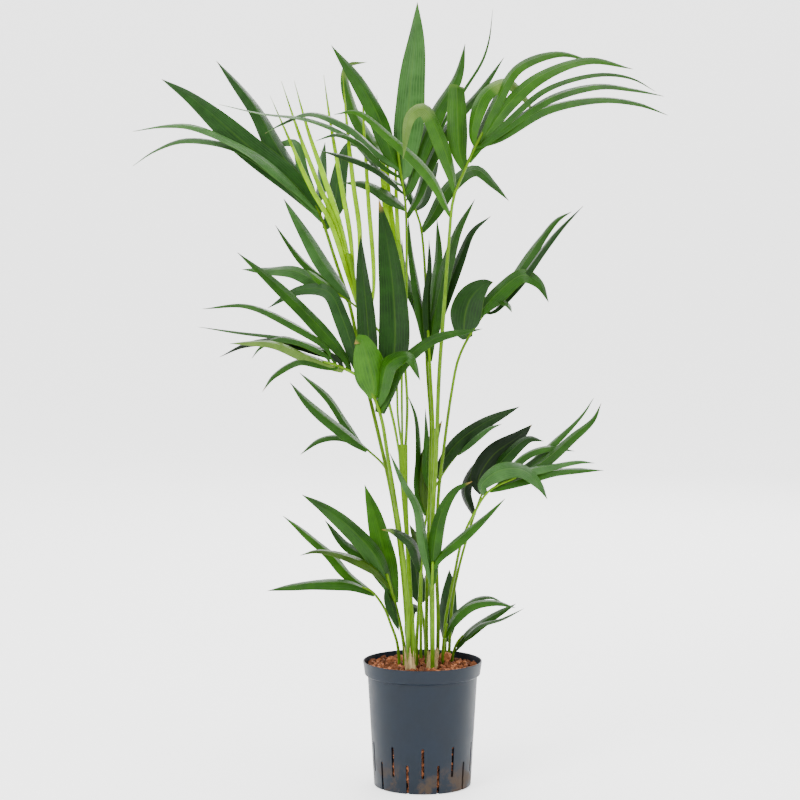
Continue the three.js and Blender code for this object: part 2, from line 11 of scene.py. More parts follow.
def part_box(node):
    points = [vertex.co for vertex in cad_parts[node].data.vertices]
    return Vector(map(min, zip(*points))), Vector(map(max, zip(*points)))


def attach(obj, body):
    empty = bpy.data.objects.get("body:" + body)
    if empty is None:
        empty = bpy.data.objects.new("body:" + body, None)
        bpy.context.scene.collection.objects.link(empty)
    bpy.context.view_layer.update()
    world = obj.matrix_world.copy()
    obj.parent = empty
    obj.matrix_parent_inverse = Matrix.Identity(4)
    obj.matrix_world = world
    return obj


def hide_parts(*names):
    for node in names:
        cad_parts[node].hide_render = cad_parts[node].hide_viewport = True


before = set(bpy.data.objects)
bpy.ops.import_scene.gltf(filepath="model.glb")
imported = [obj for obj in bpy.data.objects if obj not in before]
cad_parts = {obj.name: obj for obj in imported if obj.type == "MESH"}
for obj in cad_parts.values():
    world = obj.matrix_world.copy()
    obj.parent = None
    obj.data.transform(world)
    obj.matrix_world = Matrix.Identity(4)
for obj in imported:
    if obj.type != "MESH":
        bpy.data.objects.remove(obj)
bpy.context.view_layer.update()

bl_info = {
    "name": "Potted kentia palm",
    "version": (1, 0, 0),
    "blender": (4, 5, 0),
    "location": "View3D > Sidebar > Palm",
    "description": "Builds a potted kentia palm piece by piece around its frame",
    "category": "Add Mesh",
}

MM = 0.001
POT_LOW, POT_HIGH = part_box("pot")
RIM_RADIUS = POT_HIGH.x
POT_HEIGHT = POT_HIGH.z

# Fronds are drawn in millimetres as seen from the front, by an eye this far from the pot's
# axis and this high. A point's depth, counted away from that eye, moves it along its line
# of sight.
EYE_DISTANCE = 4000
EYE_HEIGHT = 946
AWAY = Vector((0, 1, 0))

# The camera looks from the eye at this place, a little left of the pot's axis.
CAMERA_AIM = Vector((-0.034, 0, 0.585))
LENS = 120.5
SENSOR = 36


# ---- Settings ----

def length(name, description, default):
    return bpy.props.FloatProperty(
        name=name, description=description, default=default, unit="LENGTH", min=0)


def colour(name, description, default):
    return bpy.props.FloatVectorProperty(
        name=name, description=description, default=default, subtype="COLOR",
        size=3, min=0, max=1)


class PotSettings(bpy.types.PropertyGroup):
    rim_radius: length("Rim radius", "Outside of the rim", RIM_RADIUS)
    height: length("Height", "From the floor to the rim", POT_HEIGHT)
    rim_band: length("Rim band", "Height of the wide band under the rim", 0.019)
    shoulder: length("Shoulder", "Height of the slope under the band", 0.004)
    wall_top: length("Wall top radius", "Wall radius just under the shoulder", 0.083)
    foot_radius: length("Foot radius", "Wall radius at the floor", 0.0735)
    wall: length("Wall", "Thickness of the plastic", 0.0018)
    slot_width: length("Slot width", "Width of each slot in the wall", 0.004)
    plastic: colour("Plastic", "Colour of the moulded plastic", (0.0038, 0.0082, 0.0150))
    dust: colour("Dust", "Clay dust near the foot", (0.055, 0.036, 0.022))


class ClaySettings(bpy.types.PropertyGroup):
    top: length("Clay top", "Height of the clay's surface", 0.182)
    granule: length("Granule", "Mean size across a granule", 0.0085)
    fired: colour("Fired clay", "Colour of the granules", (0.30, 0.100, 0.036))
    # Dark clay colours the darker granules; scaled down on the core, it also paints the shade in the
    # hollows between granules.
    shade: colour("Dark clay", "Colour of the hollows and darker granules",
                  (0.035, 0.0105, 0.0045))


class PalmSettings(bpy.types.PropertyGroup):
    # Painted shade: a darker leaf colour for leaflets that lie in shade (letter k in TONES).
    painted_shade_leaf: colour("Darkest leaf", "Leaflets in the shade", (0.0010, 0.0075, 0.0001))
    dark: colour("Dark leaf", "Broad glossy leaflets", (0.0035, 0.0230, 0.0001))
    middle: colour("Leaf", "Most leaflets", (0.010, 0.050, 0.0003))
    bright: colour("Bright leaf", "Fresh leaflets", (0.018, 0.078, 0.0003))
    glaucous: colour("Glaucous leaf", "Grey-green leaflets", (0.026, 0.085, 0.014))
    dull: colour("Dull leaf", "Dark grey-green leaflets", (0.008, 0.036, 0.0035))
    olive: colour("Olive leaf", "Older leaflets", (0.022, 0.058, 0.0015))
    pale: colour("Pale leaf", "Light yellow-green leaflets", (0.075, 0.150, 0.020))
    underside: colour("Underside", "Lower face of a leaflet", (0.034, 0.095, 0.008))
    stalk: colour("Stalk", "Petioles and midribs", (0.080, 0.175, 0.0002))
    spear: colour("Spear", "Folded young leaflets", (0.185, 0.390, 0.0001))
    fibre: colour("Fibre", "Dry leaf-sheath fibre", (0.60, 0.44, 0.21))
    blade_thickness: length("Blade thickness", "Thickness of a leaflet", 0.00045)
    fullness: bpy.props.FloatProperty(
        name="Fullness", description="Width of the leaflets against their table",
        default=1.2, min=0.5, max=2)
    rib: length("Midrib", "How far a leaflet's midrib stands up", 0.0005)
    fold: bpy.props.FloatProperty(
        name="Fold", description="How far a leaflet's halves hang from its midrib",
        default=0.14, min=0, max=1)
    spear_fold: bpy.props.FloatProperty(
        name="Young fold", description="The same for the folded young leaflets",
        default=0.45, min=0, max=1)


# ---- The fronds ----
# stalk points are [x, z, depth], from the foot up. radius is spread evenly along the stalk.
# A blade is [width, turn, reach, points]: it grows from the nearest point of the stalk, its
# upper face turns from the front by `turn` degrees, and its tip is `reach` deeper than its
# start.

FRONDS = {
  "frond_high_left": {
    "stalk": [[-21, 150, -32.5], [-23, 215, -31], [-26, 270, -26], [-32, 340, -16],
      [-41, 410, -4], [-51, 465, 8], [-70, 550, 26], [-90, 635, 46], [-108, 725, 66],
      [-130, 795, 84], [-155, 868, 102], [-172, 892, 106]],
    "radius": [2.9, 3, 2.8, 2.4],
    "blades": [
      [38, 20, -25, [[-195, 912], [-260, 965], [-345, 1037], [-387, 1063]]],
      [30, 35, 40, [[-190, 922], [-220, 970], [-250, 1025], [-305, 1090]]],
      [22, 62, -75, [[-200, 912], [-260, 958], [-340, 993], [-385, 994], [-431, 986]]],
      [22, 60, -45, [[-215, 925], [-280, 964], [-355, 974], [-400, 957], [-431, 935]]],
      [18, 30, 60, [[-175, 920], [-189, 968], [-212, 967], [-232, 962]]],
      [17, 30, 75, [[-152, 905], [-149, 945], [-144, 970]]],
      [27, 20, 80, [[-130, 877], [-126, 912], [-108, 968], [-96, 962]]],
    ],
  },
  "spear_left": {
    "stalk": [[-34, 500, 22], [-43, 550, 16], [-60, 615, 9], [-78, 670, 3], [-97, 728, -2],
      [-103, 765, -4], [-112, 805, -6]],
    "radius": [1.8, 3.6],
    "blades": [
      [11, 40, -14, [[-134, 850], [-165, 905], [-195, 970], [-227, 1039]]],
      [10, 35, -4, [[-128, 850], [-152, 905], [-180, 975], [-210, 1060]]],
      [12, 35, 6, [[-122, 850], [-143, 915], [-168, 985], [-191, 1061]]],
      [9, 30, 12, [[-107, 835], [-122, 920], [-138, 1010], [-147, 1069]]],
      [9, 30, 18, [[-92, 830], [-102, 910], [-112, 1000], [-119, 1072]]],
      [8, 30, 24, [[-72, 750], [-80, 890], [-87, 1000], [-90, 1069]]],
    ],
  },
  "spear_centre": {
    "stalk": [[-30, 500, 27], [-31, 600, 36], [-30, 700, 42], [-30, 790, 44], [-38, 825, 44]],
    "radius": [1.6, 2.6],
    "blades": [
      [13, 30, 0, [[-50, 860], [-56, 920], [-62, 990], [-68, 1040]]],
      [10, 30, 10, [[-44, 860], [-50, 920], [-50, 990]]],
      [8, 30, -8, [[-35, 840], [-38, 900], [-40, 970]]],
    ],
  },
  "frond_top_centre": {
    "stalk": [[-26.5, 500, 24], [-24, 540, 20], [-23, 580, 18], [-27, 660, 14], [-25, 700, 12],
      [-24, 800, 8], [-26, 880, 8], [-33, 925, 10], [-38, 965, 12]],
    "radius": [2.2, 1.8],
    "blades": [
      [40, 12, 25, [[-29, 918], [-25, 970], [-19, 1050], [-11, 1130], [-8, 1176]]],
      [26, 30, 70, [[-20, 905], [-5, 960], [20, 1015], [50, 1065], [63, 1115]]],
      [20, 40, 110, [[-8, 890], [10, 940], [40, 995], [85, 1045], [121, 1095]]],
      [20, 70, -70, [[-58, 922], [-105, 975], [-165, 1003], [-240, 1013], [-303, 1026]]],
      [20, 60, -50, [[-75, 962], [-110, 993], [-170, 1013], [-210, 998], [-235, 983]]],
      [16, 60, -90, [[-60, 937], [-95, 970], [-130, 982], [-160, 972]]],
      [16, 55, -100, [[-55, 920], [-90, 940], [-130, 952], [-155, 958]]],
      [18, 30, 60, [[-60, 895], [-85, 908], [-117, 910]]],
      [26, 22, -35, [[-42, 940], [-65, 1005], [-92, 1055], [-136, 1113]]],
      [21, 38, 70, [[-59, 950], [-103, 1020], [-112, 1080], [-83, 1088]]],
      [7, 40, 90, [[-15, 900], [8, 955], [38, 1013], [64, 1052], [88, 1090], [98, 1120], [104, 1165]]],
    ],
  },
  "frond_centre_back": {
    "stalk": [[7, 150, -12], [6, 250, 4], [8, 350, 20], [12, 480, 44], [13, 545, 58],
      [7, 640, 82], [6, 720, 104], [3, 800, 128], [-3, 850, 144], [-14, 880, 152]],
    "radius": [2.9, 2.6, 1.8],
    "blades": [
      [24, 35, 70, [[15, 860], [42, 905], [80, 929], [108, 907], [130, 883]]],
      [20, 40, 60, [[0, 880], [12, 915], [25, 942]]],
      [16, 50, 30, [[-16, 890], [-26, 910], [-36, 928]]],
    ],
  },
  "frond_centre_fan": {
    "stalk": [[15, 150, -12], [13, 300, 2], [14, 420, 14], [16, 540, 28], [12, 620, 42],
      [8, 690, 52]],
    "radius": [2.9, 2.6, 2.2],
    "blades": [
      [18, 45, 60, [[-5, 720], [-18, 750], [-28, 790], [-30, 825]]],
      [16, 40, 40, [[-5, 740], [-15, 800], [-21, 860]]],
      [15, 45, 26, [[8, 740], [12, 780], [10, 825]]],
      [20, 40, 60, [[15, 740], [23, 800], [22, 855]]],
      [22, 35, 44, [[20, 720], [48, 830], [78, 885]]],
      [20, 40, 70, [[25, 715], [55, 795], [75, 838], [102, 860]]],
    ],
  },
  "frond_high_right": {
    "stalk": [[16, 150, -19.5], [15, 300, -23], [15, 400, -28], [20, 500, -38], [24, 620, -56],
      [31, 720, -74], [38, 820, -92], [45, 888, -104], [60, 925, -108], [78, 965, -110],
      [88, 985, -112]],
    "radius": [3.1, 3.2, 2.8, 1.8],
    "blades": [
      [18, 40, -70, [[10, 920], [-50, 978], [-100, 1015], [-133, 1011]]],
      [22, 30, -50, [[42, 925], [25, 975], [0, 1020], [-20, 1010], [-31, 945]]],
      [27, 15, 43, [[54, 955], [51, 1010], [50, 1055], [50, 1010]]],
      [22, 35, 55, [[72, 980], [90, 1040], [125, 1058], [155, 1030], [163, 1012]]],
      [20, 45, 54, [[108, 1030], [140, 1080], [200, 1101], [252, 1089]]],
      [22, 40, 26, [[125, 1025], [175, 1068], [245, 1091], [311, 1078]]],
      [18, 65, -24, [[120, 1000], [180, 1050], [260, 1072], [310, 1065], [344, 1045]]],
      [20, 60, -50, [[120, 990], [190, 1036], [260, 1054], [310, 1048], [356, 1038]]],
      [20, 58, -80, [[110, 975], [180, 1020], [260, 1035], [320, 1027], [362, 1010]]],
    ],
  },
  "frond_right_mid": {
    "stalk": [[22, 150, 40], [24, 250, 38], [21, 350, 34], [24, 440, 28], [32, 512, 20],
      [44, 600, 14], [54, 648, 14], [75, 690, 12], [115, 745, 8], [130, 765, 6]],
    "radius": [3.2, 1.8],
    "blades": [
      [42, 12, -25, [[62, 690], [70, 735], [92, 758], [105, 762]]],
      [26, 35, -45, [[85, 712], [115, 748], [150, 772], [174, 760], [188, 732]]],
      [20, 50, 30, [[148, 785], [175, 825], [200, 855], [222, 867]]],
      [18, 58, -60, [[105, 718], [145, 765], [200, 838], [238, 875]]],
      [10, 30, -50, [[112, 736], [127, 728], [133, 717]]],
    ],
  },
  "frond_left_front": {
    "stalk": [[-21, 150, -39.5], [-22, 215, -40], [-22, 260, -42], [-25, 300, -44],
      [-34, 380, -48], [-43, 440, -54], [-53, 500, -62], [-62, 555, -70], [-72, 585, -76],
      [-90, 615, -86], [-130, 637, -110], [-150, 643, -120]],
    "radius": [2.9, 3.2, 2.8, 2],
    "blades": [
      [42, 12, -50, [[-74, 605], [-84, 650], [-94, 676], [-103, 669]]],
      [26, 35, -70, [[-64, 595], [-52, 640], [-22, 650], [-5, 615]]],
      [18, 35, -40, [[-55, 590], [-35, 635], [15, 676], [88, 692]]],
      [18, 54, -70, [[-118, 630], [-170, 650], [-230, 671], [-290, 670]]],
      [18, 62, -60, [[-132, 634], [-185, 645], [-225, 622], [-242, 598]]],
      [20, 55, -30, [[-128, 648], [-215, 676], [-270, 668], [-305, 650]]],
      [16, 62, -20, [[-143, 650], [-170, 667], [-215, 678], [-245, 664], [-257, 648]]],
      [14, 70, 0, [[-135, 648], [-158, 664], [-200, 678], [-280, 688], [-336, 695]]],
      [18, 62, 20, [[-146, 666], [-200, 702], [-265, 728], [-330, 722]]],
      [22, 40, 30, [[-115, 645], [-165, 705], [-225, 763], [-277, 806]]],
      [22, 25, 60, [[-98, 635], [-120, 705], [-142, 748], [-185, 750], [-232, 723]]],
      [27, 20, 30, [[-80, 650], [-84, 710], [-91, 790], [-93, 832]]],
      [40, 10, 20, [[-55, 600], [-43, 660], [-44, 740], [-55, 830], [-66, 886]]],
    ],
  },
  "frond_left_mid": {
    "stalk": [[-29, 500, 18], [-37, 560, 10], [-40, 620, 2], [-52, 665, -4], [-85, 712, -12],
      [-125, 743, -16], [-140, 750, -18]],
    "radius": [1.8, 1.6],
    "blades": [
      [24, 42, 40, [[-115, 745], [-145, 785], [-175, 835], [-207, 886]]],
      [14, 55, 20, [[-145, 765], [-180, 795], [-220, 847]]],
      [22, 40, -20, [[-150, 756], [-190, 778], [-230, 780], [-270, 781]]],
      [12, 35, -50, [[-140, 755], [-158, 768], [-173, 780]]],
    ],
  },
  "frond_left_low_mid": {
    "stalk": [[-11, 150, 46], [-15, 260, 50], [-25, 330, 56], [-38, 420, 70], [-55, 482, 84],
      [-80, 508, 94], [-108, 530, 104]],
    "radius": [2.8, 1.6],
    "blades": [
      [16, 50, 40, [[-115, 550], [-140, 588], [-183, 626]]],
      [20, 45, -40, [[-80, 508], [-125, 543], [-170, 580], [-198, 611]]],
      [14, 60, 0, [[-125, 530], [-155, 525], [-183, 503]]],
    ],
  },
  "frond_centre_low": {
    "stalk": [[-2, 150, 42], [-2, 260, 46], [0, 350, 54], [5, 400, 60], [14, 440, 68],
      [34, 478, 80], [60, 512, 92]],
    "radius": [2.6, 1.4],
    "blades": [
      [22, 25, 30, [[24, 475], [48, 515], [90, 548], [146, 575]]],
      [14, 60, -30, [[72, 522], [100, 543], [119, 549]]],
      [26, 20, 50, [[1, 430], [4, 480], [16, 525], [30, 554]]],
      [14, 50, 70, [[-5, 440], [-3, 500], [-8, 560], [-22, 594]]],
      [12, 45, 30, [[7, 470], [8, 530], [5, 572]]],
    ],
  },
  "frond_right_low_front": {
    "stalk": [[29, 150, 32], [35, 250, 18], [42, 290, 10], [48, 320, 2], [60, 375, -14],
      [78, 415, -28], [100, 448, -44], [140, 468, -62]],
    "radius": [2.9, 1.6],
    "blades": [
      [24, 30, -60, [[88, 455], [115, 478], [150, 479], [175, 457], [187, 435]]],
      [18, 62, -10, [[140, 472], [200, 488], [235, 493], [258, 490]]],
      [20, 52, -50, [[180, 475], [230, 480], [271, 479]]],
      [18, 65, 20, [[165, 495], [210, 535], [240, 565], [256, 588]]],
      [20, 50, -20, [[175, 488], [225, 530], [255, 556], [267, 580]]],
      [16, 55, 10, [[150, 500], [190, 514], [228, 508]]],
    ],
  },
  "frond_right_low_back": {
    "stalk": [[39, 150, 41], [45, 275, 46], [55, 330, 50], [70, 385, 54], [82, 422, 58],
      [95, 455, 64], [112, 486, 72]],
    "radius": [2.7, 1.6],
    "blades": [
      [17, 30, 34, [[64, 446], [78, 482], [108, 509]]],
      [31, 14, 26, [[84, 462], [105, 500], [145, 530], [165, 548]]],
      [20, 40, -10, [[103, 470], [128, 502], [160, 527], [182, 523]]],
    ],
  },
  "frond_front_low": {
    "stalk": [[15, 150, -27.5], [15, 250, -40], [14, 300, -48], [15, 340, -56]],
    "radius": [3.1, 2.9, 2],
    "blades": [
      [18, 50, -50, [[25, 348], [55, 375], [100, 415], [123, 436]]],
      [18, 45, -30, [[2, 370], [-8, 425], [-28, 460], [-50, 505]]],
      [20, 25, -15, [[18, 372], [30, 420], [50, 450], [74, 462]]],
    ],
  },
  "frond_front_low_left": {
    "stalk": [[-8, 150, 4], [-9, 210, -4], [-7, 250, -10], [-4, 300, -20], [-2, 348, -30]],
    "radius": [2.9, 2.0],
    "blades": [
      [18, 35, -80, [[-15, 366], [-45, 387], [-62, 389]]],
      [14, 35, -20, [[-8, 370], [-20, 397]]],
    ],
  },
  "frond_left_low": {
    "stalk": [[-27, 150, 3], [-28, 210, -4], [-35, 250, -12], [-45, 290, -20], [-54, 322, -26]],
    "radius": [2.9, 2.2],
    "blades": [
      [26, 25, -40, [[-70, 347], [-110, 392], [-150, 423], [-182, 442]]],
      [30, 15, 20, [[-59, 360], [-70, 405], [-87, 457]]],
      [20, 40, 0, [[-80, 343], [-115, 365], [-147, 403]]],
      [18, 58, -70, [[-75, 330], [-120, 350], [-160, 357], [-185, 350]]],
      [15, 35, -20, [[-52, 295], [-44, 262], [-36, 235]]],
    ],
  },
  "frond_left_lowest": {
    "stalk": [[-33, 150, 13], [-38, 215, 10], [-48, 245, 6], [-58, 270, 2], [-78, 296, -2],
      [-92, 301, -4]],
    "radius": [2.5, 1.8],
    "blades": [
      [20, 50, -40, [[-110, 307], [-160, 308], [-200, 303], [-234, 296]]],
      [18, 48, 30, [[-108, 318], [-140, 353], [-185, 391], [-210, 410]]],
    ],
  },
  "frond_right_lowest": {
    "stalk": [[45, 150, 43], [46, 195, 42], [52, 215, 40], [62, 228, 38]],
    "radius": [2.4, 1.8],
    "blades": [
      [18, 55, -20, [[80, 240], [115, 262], [141, 276]]],
      [12, 68, -50, [[85, 242], [120, 253], [153, 269]]],
    ],
  },
  "frond_right_low_small": {
    "stalk": [[29, 150, 22], [32, 215, 10], [37, 246, 2]],
    "radius": [2.4, 1.8],
    "blades": [
      [18, 55, -40, [[50, 256], [75, 275], [110, 279], [140, 270]]],
      [13, 65, -10, [[50, 260], [80, 283], [105, 286], [125, 275]]],
    ],
  },
  "frond_right_inner": {
    "stalk": [[34, 150, 52], [35, 200, 54], [36, 240, 56]],
    "radius": [2.4, 1.8],
    "blades": [
      [26, 20, 10, [[37, 265], [40, 300], [41, 328]]],
    ],
  },
  "frond_low_back": {
    "stalk": [[5, 150, 62], [4, 230, 70], [-4, 290, 82]],
    "radius": [2.6, 2.0],
    "blades": [
      [26, 20, 20, [[-6, 300], [-10, 330], [-16, 360]]],
      [22, 35, 60, [[4, 300], [14, 330], [26, 350]]],
      [18, 45, -10, [[-16, 270], [-22, 240], [-24, 215]]],
    ],
  },
}

STEM = {
  "stalk": [[-14, 150, -36], [-15, 215, -35], [-17, 250, -31], [-20, 310, -21], [-23, 370, -8],
    [-27, 440, 8], [-29, 490, 20], [-30, 518, 22.5]],
  "radius": [4, 4, 3.8, 3.6, 3.4, 4, 6, 7.6],
}


# ---- Curves through drawn points ----

def place(point):
    """The place in space, in metres, of a drawn point."""
    x, z, depth = point
    spread = 1 + depth / EYE_DISTANCE
    return Vector((x * spread, depth, EYE_HEIGHT + (z - EYE_HEIGHT) * spread)) * MM


def drawn_from(place_in_space):
    """The drawn point [x, z, depth] of a place in space."""
    x, y, z = place_in_space / MM
    spread = 1 + y / EYE_DISTANCE
    return [x / spread, EYE_HEIGHT + (z - EYE_HEIGHT) / spread, y]


def hermite(p, t):
    """A point of the centripetal spline between p[1] and p[2]."""
    d = [max((b - a).length, 1e-7) ** 0.5 for a, b in zip(p, p[1:])]
    start = ((p[1] - p[0]) / d[0] - (p[2] - p[0]) / (d[0] + d[1]) + (p[2] - p[1]) / d[1]) * d[1]
    end = ((p[2] - p[1]) / d[1] - (p[3] - p[1]) / (d[1] + d[2]) + (p[3] - p[2]) / d[2]) * d[1]
    t2, t3 = t * t, t * t * t
    return ((2 * t3 - 3 * t2 + 1) * p[1] + (t3 - 2 * t2 + t) * start
            + (3 * t2 - 2 * t3) * p[2] + (t3 - t2) * end)


class Path:
    """A smooth curve through drawn points, read at s from 0 to 1 by its length."""

    SPAN_STEPS = 12

    def __init__(self, drawn):
        points = [place(p) for p in drawn]
        ends = [2 * points[0] - points[1], *points, 2 * points[-1] - points[-2]]
        self.line = []
        for i in range(len(points) - 1):
            for k in range(self.SPAN_STEPS):
                self.line.append(hermite(ends[i:i + 4], k / self.SPAN_STEPS))
        self.line.append(points[-1])
        self.run = [0.0]
        for a, b in zip(self.line, self.line[1:]):
            self.run.append(self.run[-1] + (b - a).length)
        self.length = self.run[-1]

    def at(self, s):
        goal = min(max(s, 0), 1) * self.length
        i = 1
        while i < len(self.run) - 1 and self.run[i] < goal:
            i += 1
        span = self.run[i] - self.run[i - 1]
        return self.line[i - 1].lerp(self.line[i], (goal - self.run[i - 1]) / span)

    def tangent(self, s):
        return (self.at(s + 0.01) - self.at(s - 0.01)).normalized()


# ---- Modelling helpers ----

def deselect():
    for each in bpy.context.selected_objects:
        each.select_set(False)


def activate(obj):
    deselect()
    obj.select_set(True)
    bpy.context.view_layer.objects.active = obj


def started(name):
    """The primitive just added, named and alone in the selection."""
    obj = bpy.context.object
    obj.name = name
    obj.data.name = name
    activate(obj)
    return obj


def pick(obj, test, domain="VERT"):
    """In edit mode, selects only the vertices or edges or faces that pass the test."""
    bpy.ops.mesh.select_mode(type=domain)
    bpy.ops.mesh.select_all(action="DESELECT")
    mesh = bmesh.from_edit_mesh(obj.data)
    found = {"VERT": mesh.verts, "EDGE": mesh.edges, "FACE": mesh.faces}[domain]
    for each in found:
        if test(each):
            each.select_set(True)
    mesh.select_flush_mode()
    bmesh.update_edit_mesh(obj.data)


def apply_modifier(obj, kind, **values):
    activate(obj)
    made = obj.modifiers.new(kind.title(), kind)
    for key, value in values.items():
        setattr(made, key, value)
    bpy.ops.object.modifier_apply(modifier=made.name)


def copied(template, name):
    obj = template.copy()
    obj.data = template.data.copy()
    obj.name = name
    obj.data.name = name
    bpy.context.scene.collection.objects.link(obj)
    return obj


def merged(objects, name):
    deselect()
    for each in objects:
        each.select_set(True)
    bpy.context.view_layer.objects.active = objects[0]
    if len(objects) > 1:
        bpy.ops.object.join()
    return started(name)


def cut(obj, cutters):
    """Cuts closed shapes out of a closed solid."""
    tool = merged(cutters, "cutter")
    apply_modifier(obj, "BOOLEAN", operation="DIFFERENCE", solver="EXACT", object=tool)
    bpy.data.objects.remove(tool)


def drop(*objects):
    for each in objects:
        bpy.data.objects.remove(each)


def settle(obj, *nodes, slot):
    """Applies the object's place and hands it to the frame in the CAD nodes' stead."""
    activate(obj)
    bpy.ops.object.transform_apply(location=True, rotation=True, scale=True)
    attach(obj, "root")
    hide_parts(*nodes)


def turned_solid(name, outline, sides):
    """A closed turned solid. The outline's (radius, height) points run from the middle of the
    underside out, over and back to the middle."""
    (first_radius, first_height), *rest = outline
    deselect()
    bpy.ops.mesh.primitive_circle_add(
        vertices=sides, radius=first_radius, fill_type="NGON", location=(0, 0, first_height))
    obj = started(name)
    bpy.ops.object.transform_apply(location=True, rotation=True, scale=True)
    bpy.ops.object.mode_set(mode="EDIT")
    bpy.ops.mesh.select_all(action="SELECT")
    radius, height = first_radius, first_height
    for next_radius, next_height in rest:
        bpy.ops.mesh.extrude_region_move(
            TRANSFORM_OT_translate={"value": (0, 0, next_height - height)})
        share = next_radius / radius
        bpy.ops.transform.resize(value=(share, share, 1), center_override=(0, 0, 0))
        radius, height = next_radius, next_height
    bpy.ops.mesh.select_all(action="SELECT")
    bpy.ops.mesh.normals_make_consistent(inside=False)
    bpy.ops.object.mode_set(mode="OBJECT")
    return obj


def round_corner(centre, radius, start, end, steps=4):
    """Outline points round a corner, from angle start to angle end in degrees."""
    points = []
    for k in range(steps + 1):
        angle = math.radians(start + (end - start) * k / steps)
        points.append((centre[0] + radius * math.cos(angle), centre[1] + radius * math.sin(angle)))
    return points


# ---- Material helpers ----

class Nodes:
    """Short ways to add and link the nodes of one material or group."""

    def __init__(self, tree):
        self.tree = tree

    def add(self, kind, **values):
        node = self.tree.nodes.new(kind)
        for key, value in values.items():
            setattr(node, key, value)
        return node

    def put(self, socket, value):
        """Links or sets a socket."""
        if isinstance(value, bpy.types.NodeSocket):
            self.tree.links.new(value, socket)
        elif value is not None:
            if socket.type == "RGBA" and len(value) == 3:
                value = (*value, 1)
            socket.default_value = value

    def math(self, operation, a, b=None, clamp=False):
        node = self.add("ShaderNodeMath", operation=operation, use_clamp=clamp)
        self.put(node.inputs[0], a)
        self.put(node.inputs[1], b)
        return node.outputs[0]

    def ramp(self, value, low, high, to_low=0.0, to_high=1.0):
        node = self.add("ShaderNodeMapRange", interpolation_type="SMOOTHSTEP")
        for socket, number in zip(node.inputs, (value, low, high, to_low, to_high)):
            self.put(socket, number)
        return node.outputs[0]

    def mix(self, share, a, b, blend="MIX"):
        node = self.add("ShaderNodeMix", data_type="RGBA", blend_type=blend)
        self.put(node.inputs["Factor"], share)
        self.put(node.inputs[6], a)
        self.put(node.inputs[7], b)
        return node.outputs[2]

    def noise(self, where, scale, detail=3.0, roughness=0.5):
        node = self.add("ShaderNodeTexNoise")
        self.put(node.inputs["Vector"], where)
        self.put(node.inputs["Scale"], scale)
        self.put(node.inputs["Detail"], detail)
        self.put(node.inputs["Roughness"], roughness)
        return node.outputs["Fac"]

    def object_place(self):
        return self.add("ShaderNodeTexCoord").outputs["Object"]

    def attribute(self, name):
        return self.add("ShaderNodeAttribute", attribute_name=name).outputs["Fac"]

    def uv(self):
        split = self.add("ShaderNodeSeparateXYZ")
        self.put(split.inputs[0], self.add("ShaderNodeTexCoord").outputs["UV"])
        return split.outputs["X"], split.outputs["Y"]

    def bump(self, height, strength, distance):
        node = self.add("ShaderNodeBump")
        self.put(node.inputs["Height"], height)
        self.put(node.inputs["Strength"], strength)
        self.put(node.inputs["Distance"], distance)
        return node.outputs["Normal"]

    def group(self, tree, **inputs):
        node = self.add("ShaderNodeGroup", node_tree=tree)
        for key, value in inputs.items():
            self.put(node.inputs[key], value)
        return node


def new_material(name, **fixed):
    """A material with a Principled shader. fixed sets sockets that are the same all over."""
    material = bpy.data.materials.new(name)
    material.use_nodes = True
    nodes = Nodes(material.node_tree)
    shader = material.node_tree.nodes["Principled BSDF"]
    for key, value in fixed.items():
        shader.inputs[key.replace("_", " ")].default_value = value
    return material, nodes, shader


def new_group(name, inputs, outputs):
    """An empty node group with named inputs (name, kind, default) and outputs (name, kind)."""
    tree = bpy.data.node_groups.new(name, "ShaderNodeTree")
    for label, kind, default in inputs:
        socket = tree.interface.new_socket(name=label, in_out="INPUT", socket_type=kind)
        socket.default_value = default
    for label, kind in outputs:
        tree.interface.new_socket(name=label, in_out="OUTPUT", socket_type=kind)
    nodes = Nodes(tree)
    return tree, nodes, nodes.add("NodeGroupInput").outputs, nodes.add("NodeGroupOutput").inputs


GREY = (0.5, 0.5, 0.5, 1)


